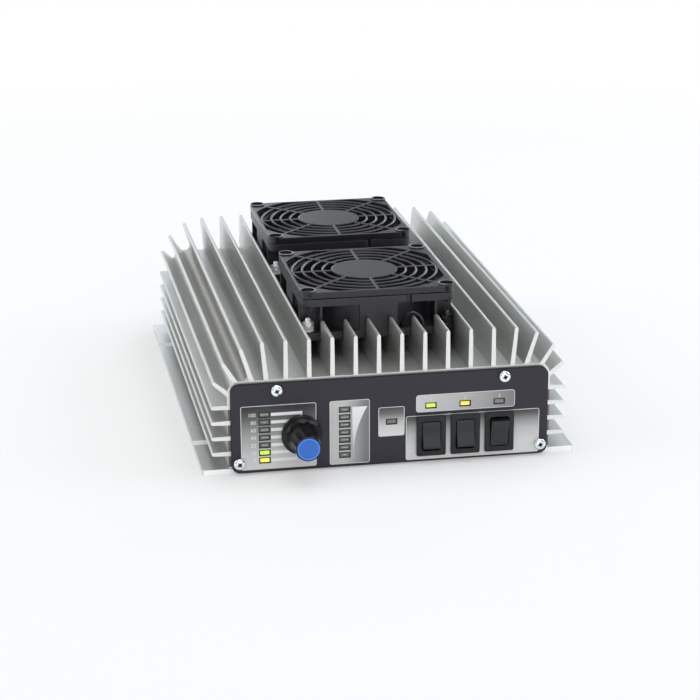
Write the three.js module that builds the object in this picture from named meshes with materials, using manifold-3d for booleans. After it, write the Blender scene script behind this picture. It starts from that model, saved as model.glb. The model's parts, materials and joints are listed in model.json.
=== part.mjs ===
// HF linear amplifier: a finned extrusion with two fans standing in a pocket of its top fins,
// a control panel with two level displays, three rocker switches and a gain knob, and the
// radio-frequency parts inside. Millimetres, +Z up, front panel towards -Y.
// The origin is the middle of the underside of the base plate.

import * as THREE from 'three';
import Module from 'manifold-3d';
import { mergeVertices } from 'three/addons/utils/BufferGeometryUtils.js';

const wasm = await Module();
wasm.setup();
const { Manifold, Mesh } = wasm;

// Driving dimensions
const bodyLength = 247;
const bodyWidth = 164;
const bodyTop = 48.4;
const fanSize = 79.3;
const panelWidth = 161.2;
const panelHeight = 46.1;
const panelThick = 2;
const panelBottom = 1;

// Clearances and cuts
const seatGap = 0.3;
const sideGap = 0.3;
const overrun = 3;
const bondDepth = 0.4;

const full = Math.PI * 2;
const quarter = Math.PI / 2;
const frontEnd = -bodyLength / 2;
const rearEnd = bodyLength / 2;

// Finishes
const finish = (color, roughness, metalness) =>
  new THREE.MeshStandardMaterial({ color, roughness, metalness, flatShading: true });
const aluminium = finish(0xc9cac7, 0.38, 0.9);
const charcoalPaint = finish(0x2c2c33, 0.5, 0.1);
const zinc = finish(0xd8dde0, 0.25, 1);
const blackSteel = finish(0x2a2c2e, 0.3, 1);
const blackPlastic = finish(0x1b1c1f, 0.55, 0);
const glossBlack = finish(0x101113, 0.3, 0);
const bluePlastic = finish(0x3a78d8, 0.4, 0);
const boardGreen = finish(0x1f5a3c, 0.5, 0);
const nickel = finish(0xbfc1bf, 0.3, 1);
const ferrite = finish(0x3b3b3d, 0.8, 0.1);
const smokedLens = finish(0x4a544f, 0.35, 0);
const greenLens = finish(0x9be01c, 0.35, 0);
const yellowLens = finish(0xf2c52a, 0.35, 0);
const ceramicWhite = finish(0xe7e4dc, 0.6, 0);

// Mesh helpers

// Joins shared corners, drops collapsed triangles and turns the faces outwards.
function closedForm(geometry) {
  const bare = new THREE.BufferGeometry();
  bare.setAttribute('position', geometry.getAttribute('position').clone());
  if (geometry.index) bare.setIndex(geometry.index.clone());
  const merged = mergeVertices(bare, 1e-4);
  const place = merged.getAttribute('position');
  const index = merged.index.array;
  const kept = [];
  let volume = 0;
  const corner = [new THREE.Vector3(), new THREE.Vector3(), new THREE.Vector3()];
  for (let i = 0; i < index.length; i += 3) {
    const [a, b, c] = [index[i], index[i + 1], index[i + 2]];
    if (a === b || b === c || a === c) continue;
    kept.push(a, b, c);
    corner[0].fromBufferAttribute(place, a);
    corner[1].fromBufferAttribute(place, b);
    corner[2].fromBufferAttribute(place, c);
    volume += corner[0].dot(corner[1].clone().cross(corner[2]));
  }
  if (volume < 0) {
    for (let i = 0; i < kept.length; i += 3) {
      [kept[i + 1], kept[i + 2]] = [kept[i + 2], kept[i + 1]];
    }
  }
  merged.setIndex(kept);
  return merged;
}

function solid(geometry) {
  const form = closedForm(geometry);
  return new Manifold(new Mesh({
    numProp: 3,
    vertProperties: new Float32Array(form.getAttribute('position').array),
    triVerts: new Uint32Array(form.index.array),
  }));
}

function surface(body) {
  const mesh = body.getMesh();
  const geometry = new THREE.BufferGeometry();
  geometry.setAttribute('position', new THREE.BufferAttribute(mesh.vertProperties, 3));
  geometry.setIndex(new THREE.BufferAttribute(mesh.triVerts, 1));
  return geometry;
}

// Adds the joined parts to each other and cuts the others out, as one body.
function sculpt(parts, cuts = []) {
  let body = parts.map(solid).reduce((a, b) => a.add(b));
  for (const cut of cuts) body = body.subtract(solid(cut));
  return surface(body);
}

const amplifier = new THREE.Group();

function addPiece(name, geometry, material, place = [0, 0, 0], turn = [0, 0, 0]) {
  const mesh = new THREE.Mesh(closedForm(geometry), material);
  mesh.name = name;
  mesh.position.set(...place);
  mesh.rotation.set(...turn);
  amplifier.add(mesh);
  return mesh;
}

// Outlines

function roundedRect(width, height, radius, x = 0, y = 0) {
  const shape = new THREE.Shape();
  const [left, right, low, high] = [x - width / 2, x + width / 2, y - height / 2, y + height / 2];
  shape.moveTo(left + radius, low);
  shape.lineTo(right - radius, low);
  shape.absarc(right - radius, low + radius, radius, -quarter, 0);
  shape.lineTo(right, high - radius);
  shape.absarc(right - radius, high - radius, radius, 0, quarter);
  shape.lineTo(left + radius, high);
  shape.absarc(left + radius, high - radius, radius, quarter, 2 * quarter);
  shape.lineTo(left, low + radius);
  shape.absarc(left + radius, low + radius, radius, 2 * quarter, 3 * quarter);
  return shape;
}

function polygon(points) {
  return new THREE.Shape(points.map(([x, y]) => new THREE.Vector2(x, y)));
}

function regular(sides, radius, turn = 0) {
  const points = [];
  for (let i = 0; i < sides; i += 1) {
    const angle = turn + (i * full) / sides;
    points.push([radius * Math.cos(angle), radius * Math.sin(angle)]);
  }
  return polygon(points);
}

// Solids from outlines: upwards from z = 0, or backwards from y = 0 with the outline in XZ.

function raise(shape, height, curveSegments = 4) {
  return new THREE.ExtrudeGeometry(shape, { depth: height, bevelEnabled: false, curveSegments });
}

function push(shape, depth, curveSegments = 4) {
  return raise(shape, depth, curveSegments).rotateX(quarter).translate(0, depth, 0);
}

function block(width, depth, height, x, y, z) {
  return new THREE.BoxGeometry(width, depth, height).translate(x, y, z);
}

// A turned form about +Z from [radius, z] pairs that start and end on the axis.
function turned(profile, segments) {
  const points = profile.map(([radius, z]) => new THREE.Vector2(radius, z));
  return new THREE.LatheGeometry(points, segments).rotateX(quarter);
}

function rod(radius, low, high, segments, x = 0, y = 0) {
  return turned([[0, low], [radius, low], [radius, high], [0, high]], segments).translate(x, y, 0);
}

// The same rod lying along +Y, from y = low to y = high.
function lyingRod(radius, low, high, segments, x = 0, z = 0) {
  return rod(radius, low, high, segments).rotateX(-quarter).translate(x, 0, z);
}

// A closed skin over rings that all hold the same number of points.
function loft(rings) {
  const count = rings[0].length;
  const position = rings.flat(2);
  const index = [];
  for (let i = 0; i + 1 < rings.length; i += 1) {
    for (let j = 0; j < count; j += 1) {
      const next = (j + 1) % count;
      const [a, b] = [i * count + j, i * count + next];
      index.push(a, b, b + count, a, b + count, a + count);
    }
  }
  const last = (rings.length - 1) * count;
  for (let j = 1; j + 1 < count; j += 1) {
    index.push(0, j + 1, j);
    index.push(last, last + j, last + j + 1);
  }
  const geometry = new THREE.BufferGeometry();
  geometry.setAttribute('position', new THREE.Float32BufferAttribute(position, 3));
  geometry.setIndex(index);
  return geometry;
}

// Base plate: carries the case, sticks out as a flange with open mounting slots

const basePlate = {
  width: 190.4,
  thick: 3,
  corner: 1.5,
  slotWidth: 6.5,
  slotDepth: 10,
  slotShift: 83.5,
  screwShift: 93,
  screwLength: 5.2,
  screwRadius: 1.5,
  sinkRadius: 3,
  sinkDepth: 0.6,
};
const caseBottom = basePlate.thick + seatGap;

// Case: an extrusion open at the bottom, with fins on its top, corners and sides

const caseBody = {
  wall: 2.7,
  roof: 3.2,
  corner: 6,
  footWidth: 7.4,
  footHeight: 7.6,
  bossWidth: 7,
  bossHeight: 5.6,
  finRoot: 2.4,
  finTip: 1.9,
  finRadius: 1,
  screwDepth: 13,
};
const caseInnerX = bodyWidth / 2 - caseBody.wall;
const roofUnder = bodyTop - caseBody.roof;

const topFins = { count: 10, pitch: 11.7, reach: 20.1 };
const finTop = bodyTop + topFins.reach;

// Fanned-out fins, measured out and up from the case's upper corner
const cornerFins = [
  { root: [-19.6, -0.8], tip: [-17.6, 19.7] },
  { root: [-12.6, -1], tip: [-6.9, 16.8] },
  { root: [-5.6, -2.6], tip: [2, 9.6] },
  { root: [-1.4, -7.2], tip: [7.1, 0.2] },
];
const sideFins = { count: 4, pitch: 8.1, firstZ: 10.95, reach: 8.3 };

// Panel screws, shared by the front and the rear panel
const panelScrew = { upperX: 57.8, upperZ: 43.5, lowerX: 76.8, lowerZ: 6.2 };
const screwPlaces = [
  [-panelScrew.upperX, panelScrew.upperZ],
  [panelScrew.upperX, panelScrew.upperZ],
  [-panelScrew.lowerX, panelScrew.lowerZ],
  [panelScrew.lowerX, panelScrew.lowerZ],
];
const screw = {
  shank: 1.5,
  head: 2.9,
  headHeight: 1.9,
  crown: 1.75,
  length: 13,
  crossLength: 3.2,
  crossWidth: 0.75,
  crossDepth: 1.2,
};
const screwHole = screw.shank + sideGap;

// Fans stand in a pocket of the fins, on their cut-down lower part
const fan = {
  corner: 4.5,
  bottom: 57.5,
  height: 21.5,
  flange: 4,
  ductInner: 37.4,
  holeShift: 35.75,
  holeRadius: 2.1,
  shift: 53.8,
};
const fanTop = fan.bottom + fan.height;
const pocket = { floor: fan.bottom - seatGap, endGap: 1.75 };
const fanBolt = {
  shank: 1.5,
  head: 3,
  headHeight: 2.2,
  washer: 3.1,
  washerHeight: 0.6,
  nut: 3.1,
  nutHeight: 2.4,
  lock: 2.5,
  lockHeight: 1.4,
  stickOut: 2.3,
};
const lead = { radius: 1.1, drop: 18.6, sway: 2.5, holeRadius: 3.2 };

// A straight fin: a tapered bar with a rounded tip from its root to its tip, in XZ.
function finOutline([rootX, rootZ], [tipX, tipZ]) {
  const along = new THREE.Vector2(tipX - rootX, tipZ - rootZ);
  const length = along.length();
  const angle = Math.atan2(along.y, along.x);
  const [low, high] = [caseBody.finRoot / 2, caseBody.finTip / 2];
  const bend = Math.min(caseBody.finRadius, high);
  const local = [[0, -low], [length - bend, -high]];
  for (const share of [0.25, 0.5, 0.75]) {
    const turn = -quarter + share * 2 * quarter;
    local.push([length - bend + bend * Math.cos(turn), high * Math.sin(turn)]);
  }
  local.push([length - bend, high], [0, low]);
  return polygon(local.map(([u, v]) => [
    rootX + u * Math.cos(angle) - v * Math.sin(angle),
    rootZ + u * Math.sin(angle) + v * Math.cos(angle),
  ]));
}

function fullLength(shape, curveSegments = 4) {
  return push(shape, bodyLength, curveSegments).translate(0, frontEnd, 0);
}

function caseShell() {
  const shape = new THREE.Shape();
  const outer = bodyWidth / 2;
  const { corner, wall, footWidth, footHeight, bossWidth, bossHeight } = caseBody;
  const innerCorner = corner - wall;
  const bossLeft = panelScrew.upperX - bossWidth / 2;
  const bossLow = roofUnder - bossHeight;
  shape.moveTo(outer, caseBottom);
  shape.lineTo(outer, bodyTop - corner);
  shape.absarc(outer - corner, bodyTop - corner, corner, 0, quarter);
  shape.lineTo(-outer + corner, bodyTop);
  shape.absarc(-outer + corner, bodyTop - corner, corner, quarter, 2 * quarter);
  shape.lineTo(-outer, caseBottom);
  shape.lineTo(-caseInnerX + footWidth, caseBottom);
  shape.lineTo(-caseInnerX + footWidth, caseBottom + footHeight);
  shape.lineTo(-caseInnerX, caseBottom + footHeight);
  shape.lineTo(-caseInnerX, roofUnder - innerCorner);
  shape.lineTo(-caseInnerX + innerCorner, roofUnder);
  for (const [side, first, second] of [[-1, bossWidth, 0], [1, 0, bossWidth]]) {
    const near = side < 0 ? -bossLeft - first : bossLeft + first;
    const far = side < 0 ? -bossLeft - second : bossLeft + second;
    shape.lineTo(near, roofUnder);
    shape.lineTo(near, bossLow);
    shape.lineTo(far, bossLow);
    shape.lineTo(far, roofUnder);
  }
  shape.lineTo(caseInnerX - innerCorner, roofUnder);
  shape.lineTo(caseInnerX, roofUnder - innerCorner);
  shape.lineTo(caseInnerX, caseBottom + footHeight);
  shape.lineTo(caseInnerX - footWidth, caseBottom + footHeight);
  shape.lineTo(caseInnerX - footWidth, caseBottom);
  shape.closePath();
  return fullLength(shape);
}

function topFinX(number) {
  return (number - (topFins.count - 1) / 2) * topFins.pitch;
}

function heatsink() {
  const sink = caseBody.roof / 2;
  const parts = [caseShell()];
  for (let i = 0; i < topFins.count; i += 1) {
    const x = topFinX(i);
    parts.push(fullLength(finOutline([x, bodyTop - sink], [x, finTop])));
  }
  const wallX = bodyWidth / 2;
  for (const side of [-1, 1]) {
    const corner = ([out, up]) => [side * (wallX + out), bodyTop + up];
    for (const { root, tip } of cornerFins) {
      parts.push(fullLength(finOutline(corner(root), corner(tip))));
    }
    for (let i = 0; i < sideFins.count; i += 1) {
      const z = sideFins.firstZ + i * sideFins.pitch;
      const rootX = side * (wallX - caseBody.wall / 2);
      parts.push(fullLength(finOutline([rootX, z], [side * (wallX + sideFins.reach), z])));
    }
  }

  const pocketWidth = fanSize + 2 * sideGap;
  const pocketLength = 2 * (fan.shift + pocket.endGap) + fanSize;
  const pocketHeight = finTop - pocket.floor + overrun;
  const cuts = [
    block(pocketWidth, pocketLength, pocketHeight, 0, 0, pocket.floor + pocketHeight / 2),
  ];
  for (const [x, z] of screwPlaces) {
    cuts.push(lyingRod(screwHole, frontEnd - overrun, frontEnd + caseBody.screwDepth, 8, x, z));
    cuts.push(lyingRod(screwHole, rearEnd - caseBody.screwDepth, rearEnd + overrun, 8, x, z));
  }
  const footTop = caseBottom + caseBody.footHeight;
  for (const x of [-baseScrewX(), baseScrewX()]) {
    for (const y of [-basePlate.screwShift, basePlate.screwShift]) {
      const top = Math.min(basePlate.thick + basePlate.screwLength + seatGap, footTop - seatGap);
      cuts.push(rod(basePlate.screwRadius + sideGap, 0, top, 8, x, y));
    }
  }
  for (const fanY of [-fan.shift, fan.shift]) {
    for (const x of [-fan.holeShift, fan.holeShift]) {
      for (const y of [fanY - fan.holeShift, fanY + fan.holeShift]) {
        cuts.push(rod(fanBolt.shank + sideGap, roofUnder - overrun, bodyTop + overrun, 8, x, y));
      }
    }
    cuts.push(rod(lead.holeRadius, roofUnder - overrun, bodyTop + overrun, 10, 0, fanY));
  }
  return sculpt(parts, cuts);
}

function baseScrewX() {
  return caseInnerX - caseBody.footWidth / 2;
}

function bottomPlate() {
  const { width, thick, corner, slotWidth, slotDepth, slotShift } = basePlate;
  const parts = [raise(roundedRect(width, bodyLength, corner), thick)];
  const cuts = [];
  for (const x of [-baseScrewX(), baseScrewX()]) {
    for (const y of [-basePlate.screwShift, basePlate.screwShift]) {
      const top = thick + basePlate.screwLength;
      parts.push(rod(basePlate.screwRadius, thick - bondDepth, top, 8, x, y));
      cuts.push(rod(basePlate.sinkRadius, -overrun, basePlate.sinkDepth, 12, x, y));
    }
  }
  for (const side of [-1, 1]) {
    for (const y of [-slotShift, slotShift]) {
      const endX = side * (width / 2 - slotDepth + slotWidth / 2);
      const run = slotDepth - slotWidth / 2 + overrun;
      const height = thick + 2 * overrun;
      cuts.push(rod(slotWidth / 2, -overrun, thick + overrun, 16, endX, y));
      cuts.push(block(run, slotWidth, height, endX + (side * run) / 2, y, thick / 2));
    }
  }
  return sculpt(parts, cuts);
}

addPiece('heatsink', heatsink(), aluminium);
addPiece('base_plate', bottomPlate(), aluminium);

// Front panel with the places of everything that shows through it

const panelFront = frontEnd - seatGap - panelThick;
const panelBack = frontEnd - seatGap;
const panelMidZ = panelBottom + panelHeight / 2;
const panelCorner = 4.2;

const led = { width: 5.5, height: 2.8, recess: 0.25 };
const slotClear = 0.2;
const levelBar = {
  count: 7,
  pitch: 4,
  width: 8,
  margin: 1.6,
  depth: 2.4,
  inputX: -64,
  outputX: -23.7,
  topZ: 31.15,
};
const indicator = { lift: 5.2, protectionX: 0.1, protectionZ: 23.2 };

const rocker = {
  pitch: 17.55,
  middleX: 37.75,
  z: 14.7,
  bezelWidth: 15,
  bezelHeight: 21,
  bezelThick: 1.6,
  bezelCorner: 0.8,
  bodyWidth: 12.6,
  bodyHeight: 18.4,
  bodyDepth: 15,
  wellWidth: 9.6,
  wellHeight: 15.4,
  wellDepth: 9,
  width: 9,
  height: 14.4,
  pivotDepth: 3,
  endReach: 4.6,
  endDrop: 2.2,
  ridgeInset: 1.7,
  dish: 1.2,
  backReach: 3.2,
  backHeight: 11,
  toeReach: 5,
  toeHeight: 3,
  pinRadius: 1,
  pinLength: 1,
  tilt: THREE.MathUtils.degToRad(11),
  lugWidth: 4.6,
  lugThick: 0.8,
  lugLength: 6,
  lugShift: 5.4,
};

const knob = {
  x: -45.6,
  z: 19.9,
  skirt: 10.3,
  waist: 7.9,
  neck: 6.7,
  length: 21.6,
  skirtHeight: 1.4,
  flareHeight: 5,
  lift: 0.5,
  flutes: 22,
  fluteDepthShare: 0.045,
  cavity: 7.2,
  cavityDepth: 4.8,
  bore: 3.3,
  boreDepth: 15,
  capRadius: 5.9,
  capThick: 1.5,
  capInset: 1.1,
  capDome: 0.35,
};
const pot = {
  canRadius: 8.2,
  canDepth: 7.5,
  bushing: 4.5,
  bushingReach: 4.4,
  shaft: 3,
  shaftReach: 13.5,
  shaftStart: 3,
  nutAcross: 12,
  nutHeight: 2,
  lugWidth: 13,
  lugDrop: 13,
  lugThick: 1.2,
};

const levelBars = [
  { name: 'input_level_leds', x: levelBar.inputX },
  { name: 'output_level_leds', x: levelBar.outputX },
];

// One lamp above each rocker and one between the displays and the rockers
const lampZ = rocker.z + rocker.bezelHeight / 2 + indicator.lift;
const indicators = [
  { name: 'led_power', x: rockerX(0), z: lampZ, material: greenLens },
  { name: 'led_bypass', x: rockerX(1), z: lampZ, material: yellowLens },
  { name: 'led_transmit', x: rockerX(2), z: lampZ, material: smokedLens },
  {
    name: 'led_protection',
    x: indicator.protectionX,
    z: indicator.protectionZ,
    material: smokedLens,
  },
];

function ledSlot(x, z) {
  const width = led.width + 2 * slotClear;
  const height = led.height + 2 * slotClear;
  return block(width, panelThick + 2 * overrun, height, x, panelThick / 2, z - panelBottom);
}

function panelBlank() {
  return push(roundedRect(panelWidth, panelHeight, panelCorner, 0, panelHeight / 2), panelThick);
}

function rockerX(number) {
  return rocker.middleX + (number - 1) * rocker.pitch;
}

function frontPanel() {
  const cuts = screwPlaces.map(([x, z]) =>
    lyingRod(screwHole, -overrun, panelThick + overrun, 10, x, z - panelBottom));
  for (const bar of levelBars) {
    for (let i = 0; i < levelBar.count; i += 1) {
      cuts.push(ledSlot(bar.x, levelBar.topZ - i * levelBar.pitch));
    }
  }
  for (const { x, z } of indicators) cuts.push(ledSlot(x, z));
  const potHole = pot.bushing + sideGap;
  cuts.push(lyingRod(potHole, -overrun, panelThick + overrun, 20, knob.x, knob.z - panelBottom));
  for (let i = 0; i < 3; i += 1) {
    cuts.push(block(
      rocker.bodyWidth + 2 * sideGap,
      panelThick + 2 * overrun,
      rocker.bodyHeight + 2 * sideGap,
      rockerX(i),
      panelThick / 2,
      rocker.z - panelBottom,
    ));
  }
  return sculpt([panelBlank()], cuts);
}

addPiece('front_panel', frontPanel(), charcoalPaint, [0, panelFront, panelBottom]);

// Cross-recessed pan-head screw, its head towards -Y and the seat of the head at y = 0
function panScrew({ shank, head, headHeight, crown, length, crossLength, crossWidth, crossDepth }) {
  const profile = [
    [0, -length],
    [shank, -length],
    [shank, 0],
    [head, 0],
    [head, headHeight * 0.45],
    [crown, headHeight],
    [0, headHeight],
  ];
  const body = turned(profile, 10).rotateX(quarter);
  const middleY = -headHeight;
  const deep = 2 * crossDepth;
  const cuts = [
    block(crossLength, deep, crossWidth, 0, middleY, 0),
    block(crossWidth, deep, crossLength, 0, middleY, 0),
  ];
  return sculpt([body], cuts);
}

const screwNames = ['upper_left', 'upper_right', 'lower_left', 'lower_right'];
screwPlaces.forEach(([x, z], i) => {
  const spin = THREE.MathUtils.degToRad(20 + i * 25);
  const mesh = addPiece(`panel_screw_${screwNames[i]}`, panScrew(screw), zinc);
  mesh.position.set(x, panelFront - seatGap, z);
  mesh.rotation.y = spin;
});

// Level displays: seven lenses on one carrier behind the panel
function levelDisplay() {
  const height = (levelBar.count - 1) * levelBar.pitch + led.height + 2 * levelBar.margin;
  const middle = -((levelBar.count - 1) * levelBar.pitch) / 2;
  const backY = panelThick + seatGap;
  const parts = [block(levelBar.width, levelBar.depth, height, 0, backY + levelBar.depth / 2, middle)];
  for (let i = 0; i < levelBar.count; i += 1) {
    const reach = backY + bondDepth - led.recess;
    parts.push(block(led.width, reach, led.height, 0, led.recess + reach / 2, -i * levelBar.pitch));
  }
  return sculpt(parts);
}

for (const bar of levelBars) {
  addPiece(bar.name, levelDisplay(), smokedLens, [bar.x, panelFront, levelBar.topZ]);
}

// Single indicator: a flat lens with a collar behind the panel
function indicatorLed() {
  const backY = panelThick + seatGap;
  const collar = 2 * levelBar.margin;
  const reach = backY + bondDepth - led.recess;
  const depth = levelBar.depth;
  return sculpt([
    block(led.width, reach, led.height, 0, led.recess + reach / 2, 0),
    block(led.width + collar, depth, led.height + collar, 0, backY + depth / 2, 0),
  ]);
}

for (const { name, x, z, material } of indicators) {
  addPiece(name, indicatorLed(), material, [x, panelFront, z]);
}

// Display board: carries the level displays and the indicators, cut out for the knob's
// control and for the switches, and held off the panel by spacers
const displayBoard = {
  left: -71,
  right: 66,
  low: 4.5,
  high: 38.8,
  stepX: 8.2,
  stepZ: 26.4,
  thick: 1.6,
  spacer: 2.4,
  spacers: [[-54, 35], [-12, 8], [8, 35]],
};

function controlBoard() {
  const { left, right, low, high, stepX, stepZ, thick, spacer, spacers } = displayBoard;
  const outline = polygon([
    [left, low], [stepX, low], [stepX, stepZ], [right, stepZ], [right, high], [left, high],
  ]);
  const gap = levelBar.depth + 2 * seatGap;
  const parts = [push(outline, thick)];
  for (const [x, z] of spacers) {
    parts.push(lyingRod(spacer, -(gap - seatGap), bondDepth, 10, x, z));
  }
  const hole = pot.canRadius + 2 * sideGap;
  return sculpt(parts, [lyingRod(hole, -overrun, thick + overrun, 24, knob.x, knob.z)]);
}

const boardY = panelFront + panelThick + seatGap + levelBar.depth + seatGap;
addPiece('display_board', controlBoard(), boardGreen, [0, boardY, 0]);

// Rocker switches

function rockerHousing() {
  const r = rocker;
  const bodyFront = -bondDepth;
  const parts = [
    push(roundedRect(r.bezelWidth, r.bezelHeight, r.bezelCorner), r.bezelThick, 3)
      .translate(0, -seatGap - r.bezelThick, 0),
    block(r.bodyWidth, r.bodyDepth - bodyFront, r.bodyHeight, 0, (r.bodyDepth + bodyFront) / 2 - seatGap, 0),
  ];
  const lugY = r.bodyDepth - seatGap;
  for (const z of [-r.lugShift, 0, r.lugShift]) {
    const reach = r.lugLength + bondDepth;
    parts.push(block(r.lugThick, reach, r.lugWidth, 0, lugY + r.lugLength / 2 - bondDepth / 2, z));
  }
  const wellFront = -seatGap - r.bezelThick - overrun;
  const wellBack = r.wellDepth - seatGap - r.bezelThick;
  const pinY = r.pivotDepth - seatGap - r.bezelThick;
  const pinReach = r.width / 2 + r.pinLength + seatGap;
  const cuts = [
    block(r.wellWidth, wellBack - wellFront, r.wellHeight, 0, (wellBack + wellFront) / 2, 0),
    rod(r.pinRadius + sideGap, -pinReach, pinReach, 12).rotateY(quarter).translate(0, pinY, 0),
  ];
  return sculpt(parts, cuts);
}

// The rocker about its pivot: a dished front between two ridges, sloped ends, a narrow toe behind
function rockerKey() {
  const r = rocker;
  const half = r.height / 2;
  const shape = new THREE.Shape();
  const ridge = half - r.ridgeInset;
  shape.moveTo(-r.endReach + r.endDrop, -half);
  const steps = 6;
  for (let i = 0; i <= steps; i += 1) {
    const share = (2 * i) / steps - 1;
    shape.lineTo(-r.endReach + r.dish * (1 - share * share), share * ridge);
  }
  shape.lineTo(-r.endReach + r.endDrop, half);
  shape.lineTo(r.backReach, r.backHeight / 2);
  shape.lineTo(r.toeReach, r.toeHeight / 2);
  shape.lineTo(r.toeReach, -r.toeHeight / 2);
  shape.lineTo(r.backReach, -r.backHeight / 2);
  shape.closePath();
  const key = raise(shape, r.width).translate(0, 0, -r.width / 2);
  key.rotateY(quarter).rotateX(quarter);
  const pinReach = r.width / 2 + r.pinLength;
  const pin = rod(r.pinRadius, -pinReach, pinReach, 12).rotateY(quarter);
  return sculpt([key, pin]);
}

const switchNames = ['amplifier', 'preamp', 'mode'];
const switchTilts = [-1, -1, 1];
switchNames.forEach((name, i) => {
  const x = rockerX(i);
  addPiece(`${name}_switch_body`, rockerHousing(), blackPlastic, [x, panelFront, rocker.z]);
  const pivotY = panelFront + rocker.pivotDepth - seatGap - rocker.bezelThick;
  const tilt = switchTilts[i] * rocker.tilt;
  addPiece(`${name}_rocker`, rockerKey(), glossBlack, [x, pivotY, rocker.z], [tilt, 0, 0]);
});

// Gain knob: a fluted grip with a flared skirt, hollow behind, on a potentiometer's shaft

// The grip points along -Y from its back face at y = 0.
function gainKnob() {
  const k = knob;
  const stations = [
    [0, k.skirt, 0.2],
    [k.skirtHeight, k.skirt, 0.3],
    [(k.skirtHeight + k.flareHeight) / 2, (k.skirt + k.waist) / 2 + 0.1 * k.skirtHeight, 0.8],
    [k.flareHeight, k.waist, 1],
    [k.length * 0.6, (k.waist + k.neck) / 2, 1],
    [k.length * 0.95, k.neck, 1],
    [k.length, k.neck * 0.95, 0.4],
  ];
  const rings = stations.map(([reach, radius, fluteShare]) => {
    const ring = [];
    for (let i = 0; i < 2 * k.flutes; i += 1) {
      const angle = (i * full) / (2 * k.flutes);
      const dip = i % 2 ? 1 - k.fluteDepthShare * fluteShare : 1;
      ring.push([radius * dip * Math.cos(angle), -reach, radius * dip * Math.sin(angle)]);
    }
    return ring;
  });
  const capSeat = k.capRadius + slotClear;
  return sculpt([loft(rings)], [
    lyingRod(k.cavity, -k.cavityDepth, overrun, 24),
    lyingRod(k.bore, -k.boreDepth, overrun, 16),
    lyingRod(capSeat, -k.length - overrun, -k.length + k.capInset, 24),
  ]);
}

function knobCap() {
  const { capRadius, capThick, capDome } = knob;
  return turned([
    [0, 0], [capRadius, 0], [capRadius, capThick - capDome],
    [capRadius * 0.9, capThick - capDome * 0.3], [0, capThick],
  ], 32).rotateX(quarter);
}

function potentiometer() {
  const p = pot;
  const back = panelThick + seatGap;
  const parts = [
    lyingRod(p.canRadius, back, back + p.canDepth, 24),
    lyingRod(p.bushing, -p.bushingReach, back + bondDepth, 20),
    block(p.lugWidth, p.lugThick, p.lugDrop, 0, back + p.canDepth - p.lugThick, -p.lugDrop / 2),
  ];
  const boreEnd = p.shaftStart + seatGap;
  return sculpt(parts, [lyingRod(p.shaft + sideGap, -p.bushingReach - overrun, boreEnd, 16)]);
}

function potNut() {
  const radius = pot.nutAcross / 2 / Math.cos(full / 12);
  const hex = push(regular(6, radius, full / 12), pot.nutHeight).translate(0, -pot.nutHeight, 0);
  return sculpt([hex], [lyingRod(pot.bushing + slotClear, -pot.nutHeight - overrun, overrun, 20)]);
}

const knobBackY = panelFront - knob.lift;
addPiece('gain_knob', gainKnob(), blackPlastic, [knob.x, knobBackY, knob.z]);
addPiece('knob_cap', knobCap(), bluePlastic,
  [knob.x, knobBackY - knob.length + knob.capInset - slotClear, knob.z]);
addPiece('gain_control', potentiometer(), nickel, [knob.x, panelFront, knob.z]);
addPiece('control_shaft', lyingRod(pot.shaft, -pot.shaftReach, pot.shaftStart, 16), nickel,
  [knob.x, panelFront, knob.z]);
addPiece('control_nut', potNut(), nickel, [knob.x, panelFront - seatGap, knob.z]);

// Fans: frame, rotor, guard and their screws

const fanHub = {
  radius: 16.8,
  wall: 1.4,
  baseRadius: 16,
  baseThick: 2.6,
  sleeve: 3,
  shaftBore: 3.4,
  boss: 5.4,
  top: 17.6,
  lift: 0.6,
};
const strut = { width: 3.4, height: 2.6, count: 4 };
const pillar = { x: 29.6, thick: 1.3 };
const pad = { width: 19.8, depth: 4.4 };
const cableSlot = { x: 15.3, width: 1.7, depth: 1.6 };

function fanPlate(low) {
  return raise(roundedRect(fanSize, fanSize, fan.corner), fan.flange).translate(0, 0, low);
}

function fanFrame() {
  const half = fanSize / 2;
  const topLow = fan.height - fan.flange;
  const parts = [
    fanPlate(0),
    fanPlate(topLow),
    rod(half, bondDepth, fan.height - bondDepth, 32),
  ];
  const pillarHeight = fan.height - 2 * bondDepth;
  const pillarDepth = half - pillar.x + pillar.thick / 2;
  for (let side = 0; side < 4; side += 1) {
    for (const x of [-pillar.x, pillar.x]) {
      const bar = block(pillar.thick, pillarDepth, pillarHeight, x, -half + pillarDepth / 2, fan.height / 2);
      parts.push(bar.rotateZ(side * quarter));
    }
    const flat = block(pad.width, pad.depth, pillarHeight, 0, -half + pad.depth / 2, fan.height / 2);
    parts.push(flat.rotateZ(side * quarter));
  }
  const cuts = [rod(fan.ductInner, -overrun, fan.height + overrun, 32)];
  for (const x of [-fan.holeShift, fan.holeShift]) {
    for (const y of [-fan.holeShift, fan.holeShift]) {
      cuts.push(rod(fan.holeRadius, -overrun, fan.height + overrun, 8, x, y));
    }
  }
  cuts.push(block(
    cableSlot.width,
    cableSlot.depth + overrun,
    fan.flange + overrun,
    cableSlot.x,
    -half + (cableSlot.depth - overrun) / 2,
    topLow + (fan.flange + overrun) / 2,
  ));
  let body = parts.map(solid).reduce((a, b) => a.add(b));
  for (const cut of cuts) body = body.subtract(solid(cut));
  const carrier = [
    rod(fanHub.baseRadius, 0, fanHub.baseThick, 24),
    rod(fanHub.sleeve, 0, fanHub.top - fanHub.wall - seatGap, 12),
  ];
  for (let i = 0; i < strut.count; i += 1) {
    const reach = fan.ductInner + bondDepth;
    const arm = block(reach, strut.width, strut.height, reach / 2, 0, strut.height / 2);
    carrier.push(arm.rotateZ(full / 8 + (i * full) / strut.count));
  }
  for (const part of carrier) body = body.add(solid(part));
  return surface(body);
}

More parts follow.
